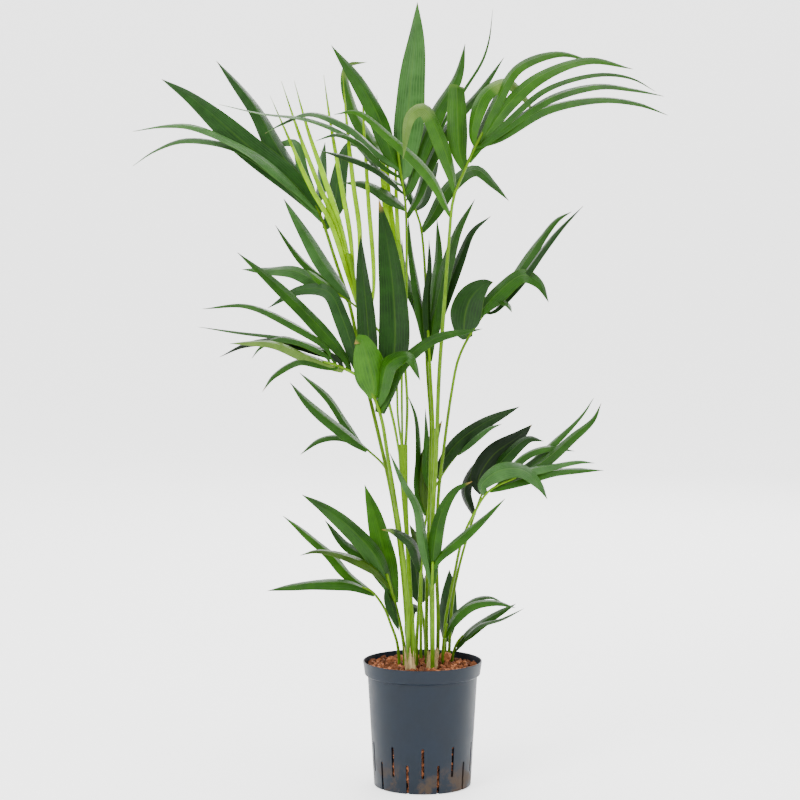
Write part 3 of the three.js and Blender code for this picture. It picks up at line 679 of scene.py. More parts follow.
def leaf_pattern():
    """Lengthwise veins, midrib, mottling and dry tip of a blade, shared by both leaf faces."""
    found = bpy.data.node_groups.get("leaf pattern")
    if found:
        return found
    tree, n, given, out = new_group(
        "leaf pattern",
        [("Tint", "NodeSocketColor", GREY), ("Rib", "NodeSocketColor", GREY),
         ("Dry", "NodeSocketColor", GREY),
         ("Veins", "NodeSocketFloat", 11.0), ("Vein contrast", "NodeSocketFloat", 0.3)],
        [("Color", "NodeSocketColor"), ("Height", "NodeSocketFloat"),
         ("Gloss loss", "NodeSocketFloat")])
    across, along = n.uv()
    place_on = n.object_place()
    wander = n.math("MULTIPLY", n.noise(place_on, 60, 2), 0.05)
    lines = n.math("SINE", n.math("MULTIPLY", n.math("ADD", across, wander),
                                  n.math("MULTIPLY", given["Veins"], 2 * math.pi)))
    veins = n.ramp(lines, 0.2, 1.0)
    fine = n.math("SINE", n.math("MULTIPLY", n.math("ADD", across, wander),
                                 n.math("MULTIPLY", given["Veins"], 7.3 * math.pi)))
    from_rib = n.math("ABSOLUTE", n.math("SUBTRACT", across, 0.5))
    rib = n.ramp(from_rib, 0.035, 0.012)
    margin = n.math("MULTIPLY", n.ramp(from_rib, 0.465, 0.5), 0.5)
    mottle = n.noise(place_on, 38, 4, 0.6)
    dark = n.mix(1.0, given["Tint"], (0.62, 0.66, 0.6), "MULTIPLY")
    light = n.mix(1.0, given["Tint"], (1.55, 1.4, 1.6), "MULTIPLY")
    freshness = n.ramp(mottle, 0.25, 0.75)
    freshness = n.math("ADD", freshness, n.ramp(along, 0.16, 0.0, 0.0, 0.4), clamp=True)
    base = n.mix(freshness, dark, light)
    vein_share = n.math("MULTIPLY", veins, given["Vein contrast"])
    veined = n.mix(vein_share, base, light)
    ribbed = n.mix(n.math("MULTIPLY", rib, n.ramp(along, 0.98, 0.4, 0.1, 0.55)),
                   veined, n.mix(0.3, light, given["Rib"]))
    ribbed = n.mix(margin, ribbed, n.mix(0.5, light, given["Rib"]))
    tip_place = n.math("ADD", along, n.math("MULTIPLY", n.attribute("tip"), 0.06))
    dried = n.ramp(n.math("ADD", tip_place, n.math("MULTIPLY", mottle, 0.03)), 1.0, 1.06)
    n.put(out["Color"], n.mix(dried, ribbed, given["Dry"]))
    height = n.math("ADD", n.math("MULTIPLY", veins, 0.7), n.math("MULTIPLY", fine, 0.12))
    n.put(out["Height"], n.math("ADD", height, n.math("MULTIPLY", rib, 1.6)))
    n.put(out["Gloss loss"], n.math("ADD", n.math("MULTIPLY", mottle, 0.16),
                                    n.math("MULTIPLY", dried, 0.4)))
    return tree


def leaf_material(name, pale_share, contrast, roughness, bump, **fixed):
    """pale_share is how far a blade's own tint gives way to the colour of the underside."""
    palm = bpy.context.scene.palm
    material, n, shader = new_material(name, **fixed)
    own = n.add("ShaderNodeAttribute", attribute_name="tint").outputs["Color"]
    tint = n.mix(pale_share, own, palm.underside) if pale_share else own
    pattern = n.group(leaf_pattern(), Tint=tint, Rib=palm.stalk, Dry=DRY_TIP)
    n.put(pattern.inputs["Vein contrast"], contrast)
    n.put(shader.inputs["Base Color"], pattern.outputs["Color"])
    n.put(shader.inputs["Roughness"],
          n.math("ADD", pattern.outputs["Gloss loss"], roughness, clamp=True))
    n.put(shader.inputs["Normal"], n.bump(pattern.outputs["Height"], bump, 0.0004))
    return material


DRY_TIP = (0.22, 0.15, 0.035)


def upper_leaf():
    return leaf_material("leaf upper face", 0, 0.85, 0.28, 0.6, Specular_IOR_Level=0.16)


def lower_leaf():
    return leaf_material("leaf lower face", 0.65, 0.7, 0.42, 0.7, Specular_IOR_Level=0.1)


def spear_leaf():
    return leaf_material("folded young leaf", 0, 0.8, 0.36, 1.0, Specular_IOR_Level=0.08)


def stalk_skin():
    """Yellow-green petiole skin: fine lengthwise streaks and scurf spots."""
    palm = bpy.context.scene.palm
    material, n, shader = new_material("stalk skin", Specular_IOR_Level=0.12)
    where = n.object_place()
    stretch = n.add("ShaderNodeMapping")
    n.put(stretch.inputs["Vector"], where)
    stretch.inputs["Scale"].default_value = (1, 1, 0.05)
    streak = n.noise(stretch.outputs["Vector"], 900, 2)
    patch = n.noise(where, 14, 3)
    spots = n.ramp(n.noise(where, 420, 2), 0.66, 0.72)
    dark = [0.45 * c for c in palm.stalk]
    light = [min(1, 1.35 * c) for c in palm.stalk]
    shade = n.attribute("shade")
    tone = n.math("ADD", n.math("MULTIPLY", streak, 0.5), n.math("MULTIPLY", patch, 0.5))
    tone = n.math("ADD", n.ramp(tone, 0.3, 0.7), n.math("SUBTRACT", shade, 0.5), clamp=True)
    base = n.mix(tone, dark, light)
    n.put(shader.inputs["Base Color"],
          n.mix(n.math("MULTIPLY", spots, 0.35), base, (0.16, 0.10, 0.04)))
    n.put(shader.inputs["Roughness"], n.ramp(streak, 0.2, 0.8, 0.34, 0.5))
    n.put(shader.inputs["Normal"], n.bump(streak, 0.4, 0.0003))
    return material


# ---- Stage ----

class PALM_OT_stage(bpy.types.Operator):
    """Pale floor and backdrop, soft studio lights and the camera"""
    bl_idname = "palm.stage"
    bl_label = "Stage"

    def execute(self, context):
        self.floor()
        self.lights()
        self.camera()
        return {"FINISHED"}

    def floor(self):
        """A wide floor that curves up into a backdrop."""
        deselect()
        bpy.ops.mesh.primitive_plane_add(size=1)
        sheet = started("studio_floor")
        sheet.scale = (30, 14, 1)
        sheet.location = (0, 0, -0.0005)
        bpy.ops.object.transform_apply(location=True, rotation=True, scale=True)
        bpy.ops.object.mode_set(mode="EDIT")
        pick(sheet, lambda e: all(v.co.y > 6 for v in e.verts), "EDGE")
        bpy.ops.mesh.extrude_region_move(TRANSFORM_OT_translate={"value": (0, 0, 9)})
        pick(sheet, lambda e: all(v.co.y > 6 and v.co.z < 1 for v in e.verts), "EDGE")
        bpy.ops.mesh.bevel(offset=2.5, segments=16)
        bpy.ops.object.mode_set(mode="OBJECT")
        bpy.ops.object.shade_smooth()
        material, n, shader = new_material("studio white", Roughness=0.9, Emission_Strength=1.3)
        shader.inputs["Emission Color"].default_value = (1, 1, 1, 1)
        grain = n.noise(n.object_place(), 6)
        n.put(shader.inputs["Base Color"], n.mix(grain, (0.93, 0.93, 0.925), (0.95, 0.95, 0.95)))
        sheet.data.materials.append(material)

    def lights(self):
        for name, where, aim, size, power in (
                ("key", (-2.6, -3.4, 3.6), (0, 0, 0.7), 2.2, 240),
                ("fill", (3.2, -3.0, 1.8), (0, 0, 0.6), 2.6, 90),
                ("top", (0.2, 0.4, 4.2), (0, 0, 0.6), 2.4, 120),
                ("back", (0.8, 3.2, 2.2), (0, 0, 0.9), 2.0, 70)):
            data = bpy.data.lights.new(name, "AREA")
            data.size = size
            data.energy = power
            lamp = bpy.data.objects.new(name, data)
            lamp.location = where
            lamp.rotation_euler = (Vector(aim) - Vector(where)).to_track_quat("-Z", "Y").to_euler()
            bpy.context.scene.collection.objects.link(lamp)
        world = bpy.data.worlds.new("studio")
        world.use_nodes = True
        sky = world.node_tree.nodes["Background"]
        sky.inputs["Color"].default_value = (1, 1, 1, 1)
        sky.inputs["Strength"].default_value = 1.0
        bpy.context.scene.world = world

    def camera(self):
        data = bpy.data.cameras.new("camera")
        data.lens = LENS
        data.sensor_width = SENSOR
        camera = bpy.data.objects.new("camera", data)
        camera.location = (CAMERA_AIM.x, -EYE_DISTANCE * MM, EYE_HEIGHT * MM)
        camera.rotation_euler = (
            CAMERA_AIM - camera.location).to_track_quat("-Z", "Y").to_euler()
        bpy.context.scene.collection.objects.link(camera)
        bpy.context.scene.camera = camera


# ---- Pot ----

class PALM_OT_pot(bpy.types.Operator):
    """Slotted culture pot with its rim band, slots and drain holes"""
    bl_idname = "palm.pot"
    bl_label = "Pot"

    SIDES = 180
    SLOTS = 10
    # Each row of slots: its lowest and highest edge, and its turn as a share of the spacing.
    SLOT_ROWS = ((0.024, 0.070, 0), (-0.002, 0.044, 0.5))
    DRAIN_HOLES = 6
    DRAIN_RADIUS = 0.004
    DRAIN_RING_RADIUS = 0.045

    def execute(self, context):
        self.size = context.scene.pot
        pot = turned_solid("slotted_pot", self.outline(), self.SIDES)
        cut(pot, self.slots() + self.drains())
        apply_modifier(pot, "BEVEL", width=0.00035, segments=2, limit_method="ANGLE",
                       angle_limit=math.radians(50))
        bpy.ops.object.shade_smooth_by_angle(angle=math.radians(35))
        apply_modifier(pot, "WEIGHTED_NORMAL", keep_sharp=True, weight=100)
        pot.data.materials.clear()
        pot.data.materials.append(self.plastic())
        settle(pot, "pot", slot="pot_plastic")
        return {"FINISHED"}

    def outline(self):
        size = self.size
        band = size.height - size.rim_band
        shoulder = band - size.shoulder
        lip = 0.0009
        inner = size.rim_radius - size.wall
        return [
            (size.foot_radius - 0.012, 0.0), (size.foot_radius - 0.0022, 0.0),
            *round_corner((size.foot_radius - 0.0012, 0.0012), 0.0012, -60, 0, 3),
            (size.wall_top, shoulder),
            *round_corner((size.rim_radius - 0.0042, band - 0.0004), 0.0017, -50, 0, 3),
            *round_corner((size.rim_radius - lip, size.height - lip), lip, 0, 180, 6),
            (inner - 0.0025, band - 0.001), (size.wall_top - size.wall, shoulder),
            (size.foot_radius - size.wall, 0.0045), (size.foot_radius - size.wall - 0.002, 0.0025),
        ]

    def wall_radius(self, height):
        size = self.size
        top = size.height - size.rim_band - size.shoulder
        return size.foot_radius + (size.wall_top - size.foot_radius) * height / top

    def slots(self):
        """Two staggered rows of round-ended slots. The lower row runs out through the foot."""
        cutters = []
        for low, high, shift in self.SLOT_ROWS:
            middle = (low + high) / 2
            deselect()
            bpy.ops.mesh.primitive_cube_add(size=1)
            slot = started("slot_cutter")
            slot.scale = (self.size.slot_width, 0.014, high - low)
            slot.location = (0, -self.wall_radius(middle), middle)
            bpy.ops.object.transform_apply(location=True, rotation=True, scale=True)
            bpy.ops.object.mode_set(mode="EDIT")
            pick(slot, lambda e: abs(e.verts[0].co.y - e.verts[1].co.y) > 0.01, "EDGE")
            bpy.ops.mesh.bevel(offset=self.size.slot_width * 0.48, segments=5)
            bpy.ops.object.mode_set(mode="OBJECT")
            for k in range(self.SLOTS):
                each = copied(slot, "slot_cutter")
                each.rotation_euler.z = 2 * math.pi * (k + shift) / self.SLOTS
                cutters.append(each)
            drop(slot)
        return cutters

    def drains(self):
        cutters = []
        for k in range(self.DRAIN_HOLES):
            angle = 2 * math.pi * k / self.DRAIN_HOLES
            deselect()
            bpy.ops.mesh.primitive_cylinder_add(
                vertices=24, radius=self.DRAIN_RADIUS, depth=0.02,
                location=(self.DRAIN_RING_RADIUS * math.cos(angle),
                          self.DRAIN_RING_RADIUS * math.sin(angle), 0))
            cutters.append(started("drain_cutter"))
        return cutters

    def plastic(self):
        """Moulded plastic: faint fine grain, scuffs, and clay dust towards the foot."""
        colours = bpy.context.scene.pot
        material, n, shader = new_material("slate grey plastic", Specular_IOR_Level=0.2)
        where = n.object_place()
        split = n.add("ShaderNodeSeparateXYZ")
        n.put(split.inputs[0], where)
        cloud = n.noise(where, 22, 4, 0.6)
        grain = n.noise(where, 1500, 2)
        light = [1.35 * c for c in colours.plastic]
        base = n.mix(n.ramp(cloud, 0.3, 0.75), colours.plastic, light)
        low = n.ramp(split.outputs["Z"], 0.055, 0.012)
        dust = n.math("MULTIPLY", low, n.ramp(n.noise(where, 24, 6, 0.7), 0.47, 0.6))
        n.put(shader.inputs["Base Color"],
              n.mix(n.math("MULTIPLY", dust, 0.8), base, colours.dust))
        rough = n.math("ADD", n.ramp(cloud, 0.2, 0.8, 0.36, 0.5), n.math("MULTIPLY", dust, 0.3))
        n.put(shader.inputs["Roughness"], rough)
        n.put(shader.inputs["Normal"], n.bump(grain, 0.12, 0.0002))
        return material


# ---- Clay ----

class PALM_OT_clay(bpy.types.Operator):
    """Fired clay granules that fill the pot and show through its slots"""
    bl_idname = "palm.clay"
    bl_label = "Clay granules"

    KINDS = 7
    SEED = 11
    # Each loose layer: its height from the fill's top, the tries at placing a granule, and how
    # close two granules may lie as a share of their size.
    LAYERS = ((-0.0055, 1500, 0.72), (0.0, 2600, 0.80))
    # Larger lumps: x, y, height above the fill's top, and size.
    LUMPS = ((0.036, 0.03, 0.006, 0.019), (0.0, -0.058, 0.001, 0.015),
             (0.02, 0.052, 0.003, 0.013), (-0.05, 0.02, 0.002, 0.013))
    # Columns of granules behind each row of slots: foot, head, and the row's turn.
    COLUMNS = ((0.020, 0.074, 0), (0.004, 0.048, 0.5))

    def execute(self, context):
        self.size = context.scene.clay
        self.pot = context.scene.pot
        self.random = random.Random(self.SEED)
        core = self.core()
        kinds = [self.granule(k) for k in range(self.KINDS)]
        places = self.surface() + self.behind_slots()
        fill = self.scattered(kinds, places)
        drop(*kinds)
        # The core is painted shade: its clay colours are scaled to 0.18 so that the hollows between
        # granules look dark.
        core.data.materials.append(self.fired_clay("clay with painted shade in the hollows", 0.18))
        fill.data.materials.append(self.fired_clay("fired clay", 1.0))
        clay = merged([core, fill], "clay_fill")
        settle(clay, "clay_granules", slot="fired_clay")
        return {"FINISHED"}

    def core(self):
        """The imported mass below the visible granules."""
        pot, inset = self.pot, self.pot.wall + 0.0045
        band = pot.height - pot.rim_band
        top = self.size.top - 0.010
        return turned_solid("clay_core", [
            (0.04, 0.003), (pot.foot_radius - inset, 0.003),
            (pot.wall_top - inset, band - pot.shoulder), (pot.wall_top - 0.003, band),
            (pot.rim_radius - 0.006, top), (0.05, top + 0.001), (0.02, top + 0.001)], 72)

    def granule(self, number):
        """One lumpy granule about one metre across, scaled when it is placed."""
        deselect()
        bpy.ops.mesh.primitive_ico_sphere_add(subdivisions=2, radius=0.5)
        lump = started(f"granule_{number}")
        bpy.ops.object.mode_set(mode="EDIT")
        bpy.ops.mesh.select_all(action="SELECT")
        bpy.ops.transform.vertex_random(offset=0.15, uniform=0.6, normal=0.4, seed=number + 3)
        squash = 0.72 + 0.05 * number
        bpy.ops.transform.resize(value=(1, squash, 1.08 - 0.05 * number), center_override=(0, 0, 0))
        bpy.ops.object.mode_set(mode="OBJECT")
        return lump

    def surface(self):
        """Two loose layers over the top, with a few lumps that stand higher."""
        size, places = self.size.granule, []
        reach = self.pot.rim_radius - 0.0085
        for height, count, apart in self.LAYERS:
            layer = []
            for _ in range(count):
                angle, radius = self.random.uniform(0, 2 * math.pi), reach * self.random.random() ** 0.5
                x, y = radius * math.cos(angle), radius * math.sin(angle)
                across = size * self.random.uniform(0.65, 1.3)
                if all(math.hypot(x - p[0], y - p[1]) > apart * (across + p[3]) / 2 for p in layer):
                    swell = 0.0018 * noise.noise((x * 30, y * 30, 0))
                    z = self.size.top + height - 0.25 * size + swell + self.random.uniform(-0.001, 0.002)
                    layer.append((x, y, z, across))
            places += layer
        places += [(x, y, self.size.top + above, across) for x, y, above, across in self.LUMPS]
        return places

    def behind_slots(self):
        """Columns of granules that show through the slots."""
        places, pot, slots = [], self.pot, PALM_OT_pot.SLOTS
        top = pot.height - pot.rim_band - pot.shoulder
        for low, high, shift in self.COLUMNS:
            for k in range(slots):
                angle = 2 * math.pi * (k + shift) / slots - math.pi / 2
                z = low
                while z < high:
                    across = self.size.granule * self.random.uniform(0.6, 1.0)
                    wall = pot.foot_radius + (pot.wall_top - pot.foot_radius) * z / top
                    radius = wall - pot.wall - 0.55 * across - self.random.uniform(0, 0.001)
                    turn = angle + self.random.uniform(-0.03, 0.03)
                    places.append((radius * math.cos(turn), radius * math.sin(turn), z, across))
                    z += across * self.random.uniform(0.55, 0.8)
        return places

    def scattered(self, kinds, places):
        """One mesh with a granule at every place, each turned at random."""
        verts, faces, shades = [], [], []
        for x, y, z, across in places:
            kind = kinds[self.random.randrange(len(kinds))].data
            matrix = Euler([self.random.uniform(0, 2 * math.pi) for _ in range(3)]).to_matrix()
            first = len(verts)
            shade = self.random.random()
            verts += [matrix @ v.co * across + Vector((x, y, z)) for v in kind.vertices]
            faces += [[first + i for i in f.vertices] for f in kind.polygons]
            shades += [shade] * len(kind.vertices)
        mesh = bpy.data.meshes.new("granules")
        mesh.from_pydata(verts, [], faces)
        mesh.attributes.new("shade", "FLOAT", "POINT").data.foreach_set("value", shades)
        fill = bpy.data.objects.new("granules", mesh)
        bpy.context.scene.collection.objects.link(fill)
        activate(fill)
        bpy.ops.object.shade_smooth_by_angle(angle=math.radians(38))
        return fill

    def fired_clay(self, name, light):
        """Porous fired clay: each granule its own tone, pits, and dark pores. light scales every colour;
        below 1 it paints shade, as on the core in the hollows.
        """
        clay = self.size
        material, n, shader = new_material(name, Specular_IOR_Level=0.2)
        where = n.object_place()
        pores = n.ramp(n.noise(where, 700, 4, 0.7), 0.36, 0.5)
        tone = n.math("ADD", n.math("MULTIPLY", n.attribute("shade"), 0.75),
                      n.math("MULTIPLY", n.noise(where, 120, 3), 0.5), clamp=True)
        # light below 1 paints shade by scaling all three clay colours down.
        fired = [light * c for c in clay.fired]
        pale = [min(1, light * c * 1.8 + 0.02 * light) for c in clay.fired]
        dark = [light * c for c in clay.shade]
        base = n.mix(tone, dark, n.mix(n.ramp(tone, 0.6, 1.0), fired, pale))
        n.put(shader.inputs["Base Color"], n.mix(pores, dark, base))
        n.put(shader.inputs["Roughness"], n.ramp(pores, 0, 1, 0.98, 0.82))
        n.put(shader.inputs["Normal"], n.bump(n.noise(where, 520, 5, 0.7), 0.8, 0.0012))
        return material


# ---- Palm ----

# One letter per blade, in the order of its frond's table. A capital letter has a dry tip. The letter k
# is painted shade: a darker leaf colour for leaflets that lie in shade.
TONES = {
    "frond_high_left": "eegggee", "frond_top_centre": "gmmggmdmmbm", "frond_centre_back": "mdd",
    "frond_centre_fan": "mmdmmd", "frond_high_right": "bbbbbbmmm", "frond_right_mid": "dmmdm",
    "frond_left_front": "BmmpMkmmmmedD", "frond_left_mid": "gmgb", "frond_left_low_mid": "mmm",
    "frond_centre_low": "dgOmm", "frond_right_low_front": "ggmmmm",
    "frond_right_low_back": "kkd", "frond_front_low": "mgM", "frond_front_low_left": "Do",
    "frond_left_low": "mbmod", "frond_left_lowest": "mb", "frond_right_lowest": "mm",
    "frond_right_low_small": "mm", "frond_right_inner": "e", "frond_low_back": "ddd",
}

# Blades that show their paler face from this share of their length on, by frond and number.
TURNED_OVER = {
    ("frond_high_right", 1): 0.50, ("frond_high_right", 2): 0.70, ("frond_high_right", 3): 0.50,
    ("frond_top_centre", 9): 0.75, ("frond_front_low_left", 0): 0.80,
}

# The dry fibre round each group of stalks: its middle at the clay (x, y), its radius, the
# height it reaches, and how far it leans to the right at the top.
FIBRE_LOW = 176
FIBRE_WRAPS = {
    "fibre_left": {"middle": (-17.7, -36), "radius": 8.6, "top": 213, "lean": -2.5},
    "fibre_centre": {"middle": (13.6, -19.5), "radius": 8.8, "top": 211, "lean": 2.5},
}


def blade_width(s):
    """The width of a blade along its length, as a share of its widest."""
    return (0.3 + 0.7 * math.sin(math.pi / 2 * min(1, s / 0.38))) * (1 - s ** 3.4)


def blade_frame(path, s, turn, sign):
    """Side and upper-face directions of a blade."""
    angle = math.radians(turn) * sign
    tangent = path.tangent(s)
    across = tangent.cross(AWAY).normalized()
    normal = across * math.sin(angle) - AWAY * math.cos(angle)
    normal = (normal - tangent * normal.dot(tangent)).normalized()
    return tangent.cross(normal), normal


def stalk_frame(path, s):
    tangent = path.tangent(s)
    side = tangent.cross(AWAY).normalized()
    return side, side.cross(tangent)


def spread_value(values, s):
    """The value at s of a list spread evenly from 0 to 1."""
    at = min(max(s, 0), 1) * (len(values) - 1)
    i = min(len(values) - 2, int(at))
    return values[i] + (values[i + 1] - values[i]) * (at - i)


def bent(mesh, path, frame_at, shape):
    """Moves a template's vertices along a path. The template's y runs along it from 0 to 1.
    shape(x, s, z) gives the offsets along the frame's side and normal."""
    rings = {}
    for vertex in mesh.vertices:
        x, s, z = vertex.co
        key = round(s, 4)
        if key not in rings:
            rings[key] = (path.at(s), *frame_at(path, s))
        centre, side, normal = rings[key]
        u, v = shape(x, s, z)
        vertex.co = centre + side * u + normal * v


def filled(mesh, name, value):
    """Gives every vertex of a mesh the same attribute value."""
    count = len(mesh.vertices)
    mesh.attributes.new(name, "FLOAT", "POINT").data.foreach_set("value", [value] * count)


def blade_template():
    """A flat strip one metre long and one wide, unwrapped across and along."""
    deselect()
    bpy.ops.mesh.primitive_grid_add(x_subdivisions=8, y_subdivisions=30, size=1, calc_uvs=True)
    strip = started("blade_template")
    bpy.ops.transform.translate(value=(0, 0.5, 0))
    bpy.ops.object.transform_apply(location=True, rotation=True, scale=True)
    return strip


# The furthest that a blade's root slides down its stalk in millimetres, times its lean, and
# the least share of straight ahead that it must still start with.
ROOT_SLIDE = 45
LEAST_AHEAD = 0.2


def root_on(line, points, lean):
    """Where a blade leaves the stalk. That is below the place nearest to its first point, by
    up to lean times the distance, so that it starts out along the stalk and never doubles
    back."""
    (x, z), (next_x, next_z) = points[:2]
    distances = [math.hypot(p[0] - x, p[1] - z) for p in line]
    nearest = min(range(len(line)), key=distances.__getitem__)
    spacing = math.dist(line[0][:2], line[1][:2])
    back = min(round(min(lean * distances[nearest], ROOT_SLIDE * lean) / spacing), nearest)
    while back > 0:
        root = line[nearest - back]
        ahead = (x - root[0]) * (next_x - x) + (z - root[1]) * (next_z - z)
        if ahead > (LEAST_AHEAD * math.dist((x, z), root[:2])
                    * math.dist((x, z), (next_x, next_z))):
            break
        back -= 1
    return line[nearest - back]


def lay_along_y(rod):
    """Turns an upright rod down so that its length runs along y."""
    activate(rod)
    rod.rotation_euler.x = -math.pi / 2
    bpy.ops.object.transform_apply(location=True, rotation=True, scale=True)


def stalk_template(sides=12, rings=44):
    """A closed rod of radius 1 that lies along y from 0 to 1."""
    rod = turned_solid("stalk_template", [
        (0.5, 0), (1, 0.0005), *[(1, k / rings) for k in range(1, rings)], (1, 0.997), (0.55, 1)],
        sides)
    lay_along_y(rod)
    return rod


def grown_blade(template, line, drawn, tint, pale_from, dry, rng, young=False):
    """One leaflet. line is the stalk's middle line as drawn points."""
    palm = bpy.context.scene.palm
    width, turn, reach, points = drawn
    start = root_on(line, points, 2.0 if young else 1.1)
    run = [start[:2], *points]
    lengths = [0]
    for a, b in zip(run, run[1:]):
        lengths.append(lengths[-1] + math.dist(a, b))
    path = Path([[x, z, start[2] + reach * far / lengths[-1]]
                 for (x, z), far in zip(run, lengths)])
    sign = -1 if points[-1][0] < start[0] else 1
    twist, waves = rng.uniform(-10, 16), rng.uniform(1.4, 2.6)
    phase, offset = rng.uniform(0, 1), rng.uniform(0.15, 0.5)
    fullness = 1 if young else palm.fullness
    fold = palm.spear_fold if young else palm.fold * rng.uniform(0.6, 1.7)
    swing = (0.03 if young else 0.075) * rng.uniform(0.4, 1.3)

    def frame_at(along, s):
        return blade_frame(along, s, turn + twist * (s - 0.25), sign)

    def shape(x, s, _):
        across = 2 * x
        edge = abs(across)
        half = max(0.5 * width * fullness * blade_width(s), 0.35) * MM
        ripple = math.sin(2 * math.pi * (waves * s + phase + (offset if across > 0 else 0)))
        rib = palm.rib * (1 - s) if edge < 0.01 else 0
        hang = 2 * half * fold * edge ** 1.5
        return half * across, rib - hang + half * swing * edge ** 2 * ripple

    blade = copied(template, "blade")
    vary = rng.uniform(0.85, 1.15)
    turning = [min(1, max(0, (v.co.y - pale_from) / 0.06)) for v in blade.data.vertices]
    tints = [vary * (a + (b - a) * k) for k in turning for a, b in zip(tint, palm.pale)]
    bent(blade.data, path, frame_at, shape)
    coloured = blade.data.attributes.new("tint", "FLOAT_COLOR", "POINT")
    coloured.data.foreach_set("color", [c for i in range(0, len(tints), 3)
                                        for c in (*tints[i:i + 3], 1)])
    filled(blade.data, "tip", dry)
    return blade


def grown_stalk(template, drawn, materials, shade):
    """The petiole and midrib of a frond, a little flatter on its upper side."""
    path = Path(drawn["stalk"])
    stalk = copied(template, "stalk")

    def shape(x, s, z):
        radius = spread_value(drawn["radius"], s) * MM
        flat = 0.72 if z > 0 else 1
        return radius * x, radius * z * flat

    bent(stalk.data, path, stalk_frame, shape)
    filled(stalk.data, "shade", shade)
    stalk.data.materials.clear()
    stalk.data.materials.append(materials[2])
    activate(stalk)
    bpy.ops.object.shade_smooth()
    return stalk


def grown_frond(name, templates, materials, slot, young=False):
    """A stalk and its leaflets as one piece that takes its CAD node's place."""
    palm = bpy.context.scene.palm
    drawn, rng = FRONDS[name], random.Random(name)
    # k gives the painted shade colour of leaflets that lie in shade.
    palette = {"k": palm.painted_shade_leaf, "d": palm.dark, "m": palm.middle, "b": palm.bright,
               "g": palm.glaucous, "e": palm.dull, "o": palm.olive, "p": palm.pale}
    path = Path(drawn["stalk"])
    steps = max(8, round(path.length / 0.012))
    line = [drawn_from(path.at(k / steps)) for k in range(steps + 1)]
    tones = "m" * len(drawn["blades"]) if young else TONES[name]
    blades = []
    for number, (blade, tone) in enumerate(zip(drawn["blades"], tones, strict=True)):
        tint = palm.spear if young else palette[tone.lower()]
        pale_from = TURNED_OVER.get((name, number), 2)
        dry = 1.0 if tone.isupper() else rng.uniform(0, 0.4)
        blades.append(grown_blade(templates[0], line, blade, tint, pale_from, dry, rng, young))
    leaves = merged(blades, name)
    leaves.data.materials.clear()
    for material in materials[:2]:
        leaves.data.materials.append(material)
    apply_modifier(leaves, "SOLIDIFY", thickness=palm.blade_thickness, offset=-1,
                   material_offset=1)
    bpy.ops.object.shade_smooth_by_angle(angle=math.radians(62))
    shade = 1.0 if young else rng.uniform(0.35, 0.65)
    stalk = grown_stalk(templates[1], drawn, materials, shade)
    settle(merged([leaves, stalk], name), name, slot=slot)


def stalk_material():
    return bpy.data.materials.get("stalk skin") or stalk_skin()


class PALM_OT_fronds(bpy.types.Operator):
    """The open fronds, each a stalk with its leaflets"""
    bl_idname = "palm.fronds"
    bl_label = "Fronds"

    def execute(self, context):
        templates = blade_template(), stalk_template()
        materials = upper_leaf(), lower_leaf(), stalk_material()
        for name in FRONDS:
            if name.startswith("frond"):
                grown_frond(name, templates, materials, "palm_leaf")
        drop(*templates)
        return {"FINISHED"}


class PALM_OT_spears(bpy.types.Operator):
    """The young fronds whose leaflets are still folded"""
    bl_idname = "palm.spears"
    bl_label = "Spears"

    def execute(self, context):
        templates = blade_template(), stalk_template()
        young = spear_leaf()
        for name in FRONDS:
            if name.startswith("spear"):
                grown_frond(name, templates, (young, young, stalk_material()), "young_leaf", True)
        drop(*templates)
        return {"FINISHED"}


class PALM_OT_sheath(bpy.types.Operator):
    """The left stem, whose open sheath the young fronds rise from"""
    bl_idname = "palm.sheath"
    bl_label = "Left stem"

    def execute(self, context):
        rings = 40
        rod = turned_solid("stem_left", [
            (0.5, 0), (1, 0.0005), *[(1, k / rings) for k in range(1, rings)],
            (1, 0.994), (0.9, 1), (0.8, 0.994), (0.72, 0.96), (0.5, 0.93)], 20)
        lay_along_y(rod)

        def shape(x, s, z):
            radius = spread_value(STEM["radius"], s) * MM
            return radius * x, radius * z

        bent(rod.data, Path(STEM["stalk"]), stalk_frame, shape)
        filled(rod.data, "shade", 0.6)
        rod.data.materials.clear()
        rod.data.materials.append(stalk_material())
        bpy.ops.object.shade_smooth_by_angle(angle=math.radians(50))
        settle(rod, "stem_left", slot="palm_leaf")
        return {"FINISHED"}


